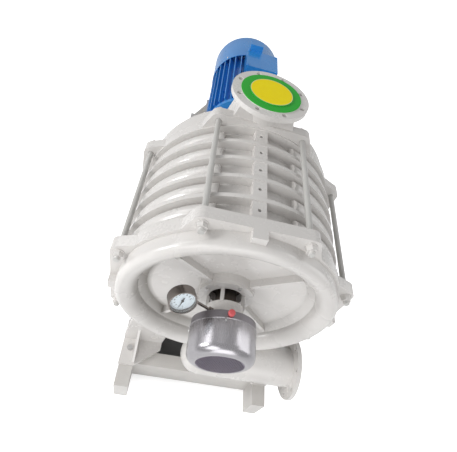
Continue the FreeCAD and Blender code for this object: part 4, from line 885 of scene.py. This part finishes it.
class Workshop:
    """Makes finished pieces: joins meshes, names them and hangs them on a body."""

    def __init__(self, frame: dict[str, Any]) -> None:
        """Keeps the frame and makes the shared trees; the finishes' materials are made on first use.
        """
        self.frame = frame
        self.made: dict[Finish, Material] = {}
        self.ring = ring_tree()
        self.spots = spots_tree()
        self.punched = punched_tree()
        self.thread = thread_tree()
        self.weld = weld_tree()

    def material(self, finish: Finish) -> Material:
        """The finish's material, made on first use.

        Args:
            finish: the finish.

        Returns:
            Its material.
        """
        if finish not in self.made:
            self.made[finish] = finish.make()
        return self.made[finish]

    def dress(self, finish: Finish, *nodes: str) -> None:
        """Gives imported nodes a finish.

        Args:
            finish: the finish.
            nodes: the nodes' names.
        """
        material = self.material(finish)
        for name in nodes:
            mesh = self.frame["nodes"][name].data
            mesh.materials.clear()
            mesh.materials.append(material)
            LOG.info("dressed %s with %s", name, finish.name)

    def copies(self, tree: GeometryTree, shape: Mesh, finish: Finish, place: Matrix,
               base: Mesh | None = None, **values: Any) -> Mesh:
        """Grows copies of one shape and puts them in place.

        Args:
            tree: the ring or spots tree.
            shape: what is copied.
            finish: what it is made of.
            place: frame that the copies are moved to.
            base: spots that they stand on, for the spots tree.
            values: the tree's named inputs.

        Returns:
            The copies as one mesh in the floor frame.
        """
        pattern = as_object(shape, "pattern")
        mesh = tree.grow(self.material(finish), base, Piece=pattern, **values)
        bpy.data.objects.remove(pattern)
        return placed(mesh, place)

    def on_ring(self, shape: Mesh, finish: Finish, place: Matrix, radius: float, start: float,
                count: int = 4, sweep: float = 360.0) -> Mesh:
        """Copies of one shape on a circle of a frame; radius in millimetres, start and sweep in degrees."""
        return self.copies(self.ring, shape, finish, place, Count=count, Radius=radius / 1000,
                           Start=math.radians(start), Sweep=math.radians(sweep))

    def on_spots(self, shape: Mesh, finish: Finish, across: Iterable[float], along: Sequence[float],
                 height: float) -> Mesh:
        """Copies of one shape, upright at each x across with each y along, in shaft millimetres."""
        base = wire([spot(x, y, height) for x in across for y in along])
        return self.copies(self.spots, shape, finish, Matrix.Identity(4), base)

    def threads(self, places: Iterable[Matrix], finish: Finish, **sizes: float) -> list[Mesh]:
        """Screw threads along the Z of several frames; sizes are the thread tree's inputs."""
        return [placed(self.thread.grow(self.material(finish), **sizes), place) for place in places]

    def beads(self, lines: Sequence[tuple[Vector, Vector]], finish: Finish, **sizes: float) -> Mesh:
        """Weld beads along lines between two points of the floor frame.

        Args:
            lines: each bead's two ends.
            finish: what the beads are made of.
            sizes: the weld tree's inputs.

        Returns:
            The beads as one mesh.
        """
        ends = [point for line in lines for point in line]
        base = wire(ends, [(k, k + 1) for k in range(0, len(ends), 2)])
        return self.weld.grow(self.material(finish), base, **sizes)

    def piece(self, name: str, meshes: Sequence[Mesh], body: str, slot: str, finish: Finish | None = None,
              replaces: Sequence[str] = (), angle: float = 32.0) -> Object:
        """Joins meshes into one named piece that rides on a body.

        Args:
            name: the piece's name.
            meshes: meshes in the floor frame.
            body: the body that it rides on.
            slot: the record's slot; not used.
            finish: a finish for all of it, or none to keep what the meshes have.
            replaces: nodes that it stands for.
            angle: edges sharper than this, in degrees, stay sharp.

        Returns:
            The piece.
        """
        made = bmesh.new()
        materials: list[Material] = []
        for mesh in meshes:
            offset, first = len(materials), len(made.faces)
            materials.extend([self.material(finish)] if finish else mesh.materials)
            made.from_mesh(mesh)
            made.faces.ensure_lookup_table()
            for face in made.faces[first:]:
                face.material_index = offset + (0 if finish else face.material_index)
        joined = as_mesh(made, name)
        unique = list(dict.fromkeys(materials))
        for polygon in joined.polygons:
            polygon.material_index = unique.index(materials[polygon.material_index])
        for material in unique:
            joined.materials.append(material)
        joined.shade_smooth()
        joined.set_sharp_from_angle(angle=math.radians(angle))
        item = as_object(joined, name)
        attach(item, body)
        if replaces:
            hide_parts(*replaces)
        LOG.info("made %s, %d faces, on %s", name, len(joined.polygons), body)
        return item


@dataclass(frozen=True)
class PunchedCup:
    """A drawn cup on the shaft's axis with a punched sheet in its end, in millimetres.

    The rim and the end are places along the shaft. The sheet's depth is how far its inner side lies
    behind the end, and its margin and its clear middle have no holes. The lip is the rim's outline,
    outwards and up from the rim's outer edge. The setback is from the rim to the screws.
    """

    radius: float
    wall: float
    rim: float
    end: float
    corner: float
    corner_steps: int
    sheet_radius: float
    sheet_margin: float
    sheet_depth: float
    sheet_thickness: float
    hole_pitch: float
    hole_radius: float
    hole_sides: int
    hole_rows: int
    screw_radius: float
    screw_height: float
    screw_setback: float
    screw_start: float
    clear_radius: float = 0.0
    lip: Outline = ((0.0, 0.0),)
    sheet_overlap: float = 2.0

    def outline(self) -> Outline:
        """The cup's outline.

        Returns:
            Its points from the rim's inner edge, with heights above the rim.
        """
        length, opening = abs(self.end - self.rim), self.sheet_radius - self.sheet_overlap
        centre = (self.radius - self.corner, length - self.corner)
        return [(self.radius - self.wall, 0.0), *((self.radius + out, up) for out, up in self.lip),
                *bend(self.corner, centre, 0.0, 90.0, self.corner_steps),
                (opening, length), (opening, length - self.wall),
                *bend(self.corner - self.wall, centre, 90.0, 0.0, self.corner_steps)]

    def meshes(self, shop: Workshop, finish: Finish, sheet_finish: Finish) -> list[Mesh]:
        """Makes the cup, its sheet and four screws.

        Args:
            shop: makes the meshes.
            finish: what the cup is made of.
            sheet_finish: what the sheet is made of.

        Returns:
            The three meshes in the floor frame.
        """
        out = FRONT if self.end < self.rim else REAR
        place = on_shaft(self.rim, out, UP)
        cup = placed(lathe(self.outline(), 128), place)
        cup.materials.append(shop.material(finish))
        sheet = shop.punched.grow(
            shop.material(sheet_finish), Radius=self.sheet_radius / 1000,
            Field=(self.sheet_radius - self.sheet_margin) / 1000, Clear=self.clear_radius / 1000,
            Pitch=self.hole_pitch / 1000, Hole=self.hole_radius / 1000, Thickness=self.sheet_thickness / 1000,
            Sides=self.hole_sides, Rows=self.hole_rows)
        sheet.transform(place @ lift(abs(self.end - self.rim) - self.sheet_depth))
        head = placed(pan_head(self.screw_radius, self.screw_height), Matrix.Rotation(math.pi / 2, 4, "Y"))
        screws = shop.on_ring(head, ZINC, on_shaft(self.rim + out[1] * self.screw_setback, out),
                              self.radius, self.screw_start)
        return [cup, sheet, screws]


# Sub-assemblies


@dataclass
class Assembly:
    """A sub-assembly; its sizes are shaft millimetres, unless a unit is named."""

    shop: Workshop

    def build(self) -> None:
        """Dresses the sub-assembly's nodes and makes its pieces."""
        raise NotImplementedError


@dataclass
class Casing(Assembly):
    """The stage castings, heads and tie rods."""

    rod_circle: float = 500.0
    rod_radius: float = 12.0
    rod_count: int = 8
    first_rod: float = 22.5
    thread_depth: float = 0.4
    thread_pitch: float = 3.0
    thread_length: float = 13.0
    front_face: float = -50.0
    rear_face: float = 575.0
    nut_height: float = 24.0

    def build(self) -> None:
        """Paints the castings, dresses the inner pieces and cuts the threads on the tie-rod ends."""
        self.shop.dress(HEAD, "front_head")
        self.shop.dress(CASING, "rear_head", *["stage_section_%d" % k for k in range(1, 6)],
                        *["return_channel_%d" % k for k in range(1, 5)], "inlet_plate", "tie_rod_nuts",
                        "front_bearing_bracket", "rear_bearing_bracket", "rear_bearing_cap")
        self.shop.dress(ROD, "tie_rods")
        self.shop.dress(TURNED, "front_bearing_cap")
        self.shop.dress(ALUMINIUM, *["impeller_%d" % k for k in range(1, 6)], "cooling_fan", "motor_fan")
        places = []
        for k in range(self.rod_count):
            x, z = polar(self.rod_circle, math.radians(self.first_rod + 360.0 / self.rod_count * k))
            places.append(facing(spot(x, self.front_face - self.nut_height, z), FRONT, RIGHT))
            places.append(facing(spot(x, self.rear_face + self.nut_height, z), REAR, RIGHT))
        threads = self.shop.threads(
            places, CASING, Radius=(self.rod_radius - self.thread_depth) / 1000,
            Pitch=self.thread_pitch / 1000, Length=self.thread_length / 1000)
        self.shop.piece("tie_rod_threads", threads, "stator", "casing_paint")


@dataclass
class FanCover(Assembly):
    """The polished cup over the bearing's cooling fan, with a punched end."""

    cup: PunchedCup = PunchedCup(
        radius=136.05, wall=2.0, rim=-205.0, end=-341.0, corner=36.0, corner_steps=12,
        sheet_radius=98.0, sheet_margin=5.0, sheet_depth=1.6, sheet_thickness=1.2,
        hole_pitch=10.5, hole_radius=3.9, hole_sides=8, hole_rows=31,
        screw_radius=4.5, screw_height=3.0, screw_setback=14.0, screw_start=8.0,
        lip=((1.6, 0.0), (1.6, 3.5), (0.0, 4.5)))

    def build(self) -> None:
        """Turns the cup, punches its end and sets its screws."""
        self.shop.piece("fan_cover_cup", self.cup.meshes(self.shop, POLISHED, PUNCHED), "stator",
                        "polished_steel", replaces=["fan_cover"], angle=40.0)


@dataclass
class Bearings(Assembly):
    """Bolts of the front bracket, the bearings' metal, the red plug, a dark ring of painted shade in the hub's
    recess and the oil hole.
    """

    bracket_face: float = -50.0
    bracket_circle: float = 101.0
    first_bolt: float = 67.0
    plug_y: float = -190.0
    plug_base: float = 134.0
    plug_radius: float = 14.0
    plug_height: float = 20.0
    housing_radius: float = 80.0
    oil_hole: float = 5.0
    oil_hole_y: float = -158.0
    recess_floor: float = 6.0
    # Outline of a seal-like ring in the hub's recess whose dark tone is painted shade
    shade_ring_outline: Outline = ((47.5, 0.0), (73.5, 0.0), (73.5, 3.0), (71.0, 4.5), (62.0, 4.5), (61.0, 7.0),
                             (47.5, 7.0))

    def build(self) -> None:
        """Dresses the bearing pieces and makes the plug, the bolts, the ring of painted shade in the hub's recess
        and the oil hole.
        """
        self.shop.dress(GROUND, "bearing_outer_rings", "bearing_inner_rings", "bearing_rollers", "motor_bearings")
        self.shop.dress(STEEL, "shaft", "motor_rotor")
        # The sleeves' very dark tone is painted shade of the hub's recess
        self.shop.dress(DARK_IRON, "shaft_sleeves")
        self._plug()
        bolts = self.shop.on_ring(hexagon_head(13.0, 6.0, 8.5), ZINC, on_shaft(self.bracket_face, FRONT),
                                  self.bracket_circle, self.first_bolt)
        self.shop.piece("bracket_bolts", [bolts], "stator", "plain_steel")
        # A dark ring on the recess floor: painted shade of the hub's recess
        seal = placed(lathe(self.shade_ring_outline, 72), on_shaft(-self.recess_floor, FRONT, UP))
        self.shop.piece("hub_seal_ring", [seal], "stator", "cast_iron", DARK_IRON)
        self._oil_hole()

    def _plug(self) -> None:
        """The red plug with its neck, collar and rounded crown."""
        radius, height = self.plug_radius, self.plug_height
        neck, crown = radius * 0.8, radius * 0.45
        plug = lathe([(0.0, 0.0), (neck, 0.0), (neck, height * 0.25), (radius, height * 0.3),
                      (radius, height * 0.62), *bend(crown, (radius * 0.55, height - crown), 10.0, 90.0, 6),
                      (0.0, height)], 32)
        place = facing(spot(0, self.plug_y, self.plug_base), UP, REAR)
        self.shop.piece("red_grease_plug", [placed(plug, place)], "stator", "plug_red", PLUG, ["grease_plug"])

    def _oil_hole(self) -> None:
        """Countersunk oil hole on top of the front housing, whose dark inside is a thin black disc of painted
        shade.
        """
        radius = self.oil_hole
        # Painted shade: a thin black disc stands for the dark inside of the hole
        throat_shade_disc = lathe([(0.0, 0.0), (radius, 0.0), (radius, 0.6), (0.0, 0.6)], 24)
        collar = lathe([(radius, 0.0), (radius * 1.5, 0.0), (radius * 1.45, 1.2), (radius, 0.8)], 24)
        place = facing(spot(0, self.oil_hole_y, self.housing_radius - 0.1), UP, REAR)
        for mesh, finish in ((throat_shade_disc, INK), (collar, DARK_IRON)):
            mesh.materials.append(self.shop.material(finish))
            mesh.transform(place)
        self.shop.piece("housing_oil_hole", [throat_shade_disc, collar], "stator", "cast_iron")


@dataclass
class DialThermometer(Assembly):
    """The dial, its print and the metal case; angles in degrees, a mark is its two radii and width."""

    azimuth: float = 143.0
    distance: float = 256.0
    forward: float = 149.0
    tilt: float = 25.0
    floor: float = 41.0
    plate_gap: float = 0.3
    plate_thickness: float = 0.8
    dial_radius: float = 47.4
    spindle_radius: float = 4.0
    start: float = 225.0
    sweep: float = 270.0
    numbers: int = 10
    divisions: int = 5
    fine_mark: Point = (39.5, 43.0, 0.5)
    bold_mark: Point = (36.5, 43.0, 1.1)
    number_circle: float = 30.0
    number_height: float = 7.5

    def place(self) -> Matrix:
        """The dial's frame.

        Returns:
            The frame, Y up along the stem and Z out of the face.
        """
        lean = math.radians(self.tilt)
        x, z = polar(1.0, math.radians(self.azimuth))
        origin = spot(x * self.distance, -self.forward, z * self.distance)
        return facing(origin, (z * math.sin(lean), -math.cos(lean), -x * math.sin(lean)), (x, 0.0, z))

    def build(self) -> None:
        """Makes the dial plate and its print, and dresses the case, glass and needle."""
        self.shop.dress(CHROMED, "gauge_case", "gauge_stem")
        self.shop.dress(INK, "gauge_needle")
        self.shop.dress(DIAL_GLASS, "gauge_glass")
        level = self.place() @ lift(self.floor + self.plate_gap)
        inner, outer, top = self.spindle_radius, self.dial_radius, self.plate_thickness
        plate = lathe([(inner, 0.0), (outer, 0.0), (outer, top), (inner, top)], 96)
        self.shop.piece("gauge_dial", [placed(plate, level)], "stator", "polished_steel", DIAL)
        printed = level @ lift(top)
        marks = [self._marks(printed, self.numbers * self.divisions, self.fine_mark),
                 self._marks(printed, self.numbers, self.bold_mark)]
        for step in range(self.numbers + 1):
            x, y = polar(self.number_circle / 1000, math.radians(self.start - self.sweep * step / self.numbers))
            marks.append(placed(self._number(str(step * 10)), printed @ Matrix.Translation((x, y, 0.0001))))
        self.shop.piece("gauge_print", marks, "stator", "needle_black", INK)

    def _marks(self, place: Matrix, count: int, mark: Point) -> Mesh:
        """The scale's marks of one kind.

        Args:
            place: frame of the printed face.
            count: how many spaces lie between them.
            mark: inner radius, outer radius and width in millimetres.

        Returns:
            The marks as one mesh.
        """
        inner, outer, width = mark
        half = math.sqrt(0.5)
        square = lathe([(0.0, 0.0), (half, 0.0), (half, 0.2), (0.0, 0.2)], 4)
        bar = placed(square, Matrix.Rotation(math.pi / 4, 4, "Z"))
        bar.transform(Matrix.Diagonal((outer - inner, width, 1.0, 1.0)))
        return self.shop.on_ring(bar, INK, place, (inner + outer) / 2, self.start, count + 1,
                                 -self.sweep * (count + 1) / count)

    def _number(self, text: str) -> Mesh:
        """A dial number as a thin mesh centred on the origin.

        Args:
            text: the digits.

        Returns:
            The mesh in metres.
        """
        curve = bpy.data.curves.new("number", "FONT")
        curve.body = text
        curve.size = self.number_height / 1000
        curve.extrude = 0.0001
        curve.align_x = curve.align_y = "CENTER"
        return evaluated(as_object(curve, "number"))


@dataclass
class InletCover(Assembly):
    """The transit cover and the gasket on the top flange."""

    def build(self) -> None:
        """Dresses the cover plate and the gasket."""
        self.shop.dress(GASKET, "inlet_gasket")
        self.shop.dress(COVER, "inlet_cover_plate")


@dataclass
class Motor(Assembly):
    """The ribbed motor: paint, screws and the punched intake of its fan cowl."""

    cowl: PunchedCup = PunchedCup(
        radius=240.0, wall=3.0, rim=1672.0, end=1965.0, corner=28.0, corner_steps=10,
        sheet_radius=200.0, sheet_margin=14.0, sheet_depth=3.1, sheet_thickness=3.0,
        hole_pitch=15.5, hole_radius=5.6, hole_sides=10, hole_rows=29,
        screw_radius=6.0, screw_height=4.0, screw_setback=24.0, screw_start=45.0, clear_radius=30.0)
    lid_top: float = 288.0
    lid_sides: tuple[float, float] = (-57.0, 152.0)
    lid_ends: tuple[float, float] = (1430.0, 1640.0)
    lid_inset: float = 12.0
    shield_face: float = 1133.5
    shield_circle: float = 186.0

    def build(self) -> None:
        """Dresses the motor and makes its cowl, lid screws and shield bolts."""
        self.shop.dress(MOTOR, "motor_frame", "motor_end_shields", "motor_terminal_box", "motor_box_lid")
        self.shop.dress(IRON, "motor_stator")
        self.shop.piece("motor_cowl_shell", self.cowl.meshes(self.shop, MOTOR, MOTOR), "stator",
                        "motor_paint", replaces=["motor_fan_cowl"], angle=40.0)
        (left, right), (near, far), inset = self.lid_sides, self.lid_ends, self.lid_inset
        lid = self.shop.on_spots(pan_head(5.5, 4.5), MOTOR, (left + inset, right - inset),
                                 (near + inset, far - inset), self.lid_top)
        shield = self.shop.on_ring(hexagon_head(17.0, 9.0, 11.0), MOTOR, on_shaft(self.shield_face, FRONT),
                                   self.shield_circle, 45.0)
        self.shop.piece("motor_screws", [lid, shield], "stator", "motor_paint")


@dataclass
class Drive(Assembly):
    """The pin coupling and its guard."""

    foot_x: float = 140.0
    foot_y: tuple[float, float] = (840.0, 1075.0)
    foot_top: float = -247.0

    def build(self) -> None:
        """Dresses the coupling and bolts the guard down."""
        self.shop.dress(IRON, "coupling_blower_half", "coupling_motor_half")
        self.shop.dress(STEEL, "coupling_pins")
        self.shop.dress(RUBBER, "coupling_bushes")
        self.shop.dress(FRAME, "coupling_guard")
        bolts = self.shop.on_spots(hexagon_head(13.0, 7.0, 9.5), ZINC, (-self.foot_x, self.foot_x),
                                   self.foot_y, self.foot_top)
        self.shop.piece("guard_bolts", [bolts], "stator", "plain_steel")


@dataclass
class Base(Assembly):
    """The welded base of channels and the motor stand.

    Beams are given by their two edges along the shaft, and the stand's rib lines by their half length and
    height. The upright beads start a little under the rails' top and end above the floor.
    """

    rail_x: float = 346.5
    top: float = -730.0
    height: float = 200.0
    bead_gap: float = 4.0
    floor_gap: float = 8.0
    bead_radius: float = 3.5
    ripple: float = 4.0
    beams: Outline = ((-165.0, -90.0), (578.0, 653.0), (1125.0, 1200.0), (1765.0, 1840.0))
    ribs: tuple[float, ...] = (795.0, 1119.33, 1443.67, 1768.0)
    rib_lines: Outline = ((316.0, -400.0), (232.0, -270.0))

    def build(self) -> None:
        """Paints the frame and lays its weld beads."""
        self.shop.dress(FRAME, "base_rail_left", "base_rail_right", "cross_beams", "motor_stand")
        self.shop.dress(ZINC, "foot_bolts", "drive_bolts")
        lines = []
        for near, far in self.beams:
            for x in (-self.rail_x, self.rail_x):
                lines.append((spot(x, near, self.top), spot(x, far, self.top)))
                lines.append((spot(x, near, self.top - self.bead_gap),
                              spot(x, near, self.top - self.height + self.floor_gap)))
        for y in self.ribs:
            for reach, height in self.rib_lines:
                lines.append((spot(-reach, y, height), spot(reach, y, height)))
        bead = self.shop.beads(lines, FRAME, Width=self.bead_radius / 1000, Ripple=self.ripple / 1000, Seed=3.0)
        self.shop.piece("frame_welds", [bead], "stator", "frame_paint", angle=60.0)


# Stage


class Light(Enum):
    """The lamps: place, target, size and power."""

    KEY = ((-4.5, -1.0, 2.9), (0.0, -0.3, 0.9), 1.4, 112.0)
    FILL = ((3.9, -0.3, 2.5), (0.0, -0.3, 0.9), 3.4, 54.0)
    FRONT = ((0.3, -4.8, 1.7), (0.0, -0.4, 0.9), 3.0, 62.0)
    CORNER = ((-2.2, -3.8, 3.2), (0.0, -0.8, 0.9), 2.4, 50.0)
    TOP = ((-1.0, 1.2, 4.8), (0.0, 0.0, 0.8), 2.6, 6.0)
    STRIP_LEFT = ((-3.08, 0.66, 3.12), (0.0, -1.045, 1.06), 1.3, 18.0)
    STRIP_RIGHT = ((2.6, 0.66, 3.7), (0.0, -1.045, 1.06), 0.8, 7.0)


@dataclass
class Studio:
    """Camera, lamps, floor and the white surround, in metres.

    The painted shadow's sizes are the base's middle and half sizes, and the shares of them where it starts and
    how far it fades. Tones are of the painted shadow on the floor under the base and of the clear floor.
    """

    eye: Point = (-0.272, -1.568, 2.3065)
    right: Point = (0.9679, 0.0747, 0.24)
    forward: Point = (0.1405, 0.6307, -0.7632)
    focal: float = 358.23
    image_width: float = 457.0
    sensor: float = 36.0
    surround: float = 0.25
    surround_gloss: float = 0.5
    floor_gloss: float = 0.3
    floor_reach: float = 14.0
    floor_height: float = -0.0005
    shadow_middle: float = 0.1
    shadow_half: tuple[float, float] = (0.44, 1.05)
    shadow_edge: float = 0.85
    shadow_fade: float = 0.25
    painted_shadow_tone: float = 0.12
    clear_tone: float = 0.8

    def build(self) -> None:
        """Builds all of the stage."""
        self._camera()
        self._lamps()
        self._surround()
        self._floor()

    def _camera(self) -> None:
        """The camera at the photograph's place and angle."""
        camera = bpy.data.cameras.new("camera")
        camera.sensor_width = self.sensor
        camera.lens = self.focal / self.image_width * self.sensor
        camera.clip_start = 0.01
        camera.clip_end = 100.0
        item = as_object(camera, "camera")
        back = -Vector(self.forward).normalized()
        side = Vector(self.right)
        side = (side - back * side.dot(back)).normalized()
        turn = Matrix((side, back.cross(side), back)).transposed().to_4x4()
        item.matrix_world = Matrix.Translation(self.eye) @ turn
        bpy.context.scene.camera = item

    def _lamps(self) -> None:
        """Large soft area lamps."""
        for lamp in Light:
            place, target, size, power = lamp.value
            data = bpy.data.lights.new(lamp.name.lower(), "AREA")
            data.shape = "SQUARE"
            data.size = size
            data.energy = power
            toward = (Vector(target) - Vector(place)).to_track_quat("-Z", "Y")
            item = as_object(data, lamp.name.lower())
            item.matrix_world = Matrix.Translation(place) @ toward.to_matrix().to_4x4()

    def _surround(self) -> None:
        """A world that looks white and lights gently."""
        world = bpy.data.worlds.new("surround")
        bpy.context.scene.world = world
        world.use_nodes = True
        graph = NodeGraph(world.node_tree)
        world.node_tree.nodes.clear()
        glow = graph.add("Background", {
            "Color": (1.0, 1.0, 1.0),
            "Strength": self.surround + (1.0 - self.surround) * graph.seen(self.surround_gloss)})
        graph.add("OutputWorld", {0: glow})

    def _floor(self) -> None:
        """A wide pale floor that keeps the cast shadow, with a painted shadow, a darker tone and no glow, right
        under the base.
        """
        mesh = bpy.data.meshes.new("floor")
        reach, height = self.floor_reach, self.floor_height
        mesh.from_pydata([(-reach, -reach, height), (reach, -reach, height), (reach, reach, height),
                          (-reach, reach, height)], [], [(0, 1, 2, 3)])
        surface = Surface("floor_white")
        seen = surface.seen(self.floor_gloss)
        across = surface.axis("X").wave("ABSOLUTE") / self.shadow_half[0]
        along = (surface.axis("Y") - self.shadow_middle).wave("ABSOLUTE") / self.shadow_half[1]
        clear = ((across.larger(along) - self.shadow_edge) / self.shadow_fade).clamped()
        # Painted shadow: under the base the floor's colour falls to the painted shadow tone and its glow fades
        # out
        surface.feed(Base_Color=self.painted_shadow_tone + (self.clear_tone - self.painted_shadow_tone) * clear, Roughness=0.7)
        glow = surface.add("Emission", {"Strength": seen * clear})
        surface.show(surface.add("AddShader", {0: surface.shader, 1: glow}))
        mesh.materials.append(surface.material)
        as_object(mesh, "floor")


def main() -> None:
    """Builds the stage and every sub-assembly in order."""
    logging.basicConfig(level=logging.INFO, format="%(message)s")
    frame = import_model()
    bpy.context.scene.view_settings.view_transform = "Standard"
    Studio().build()
    shop = Workshop(frame)
    for assembly in (Casing(shop), FanCover(shop), Bearings(shop), DialThermometer(shop), InletCover(shop),
                     Motor(shop), Drive(shop), Base(shop)):
        assembly.build()
        LOG.info("finished %s", type(assembly).__name__)


if __name__ == "__main__":
    main()
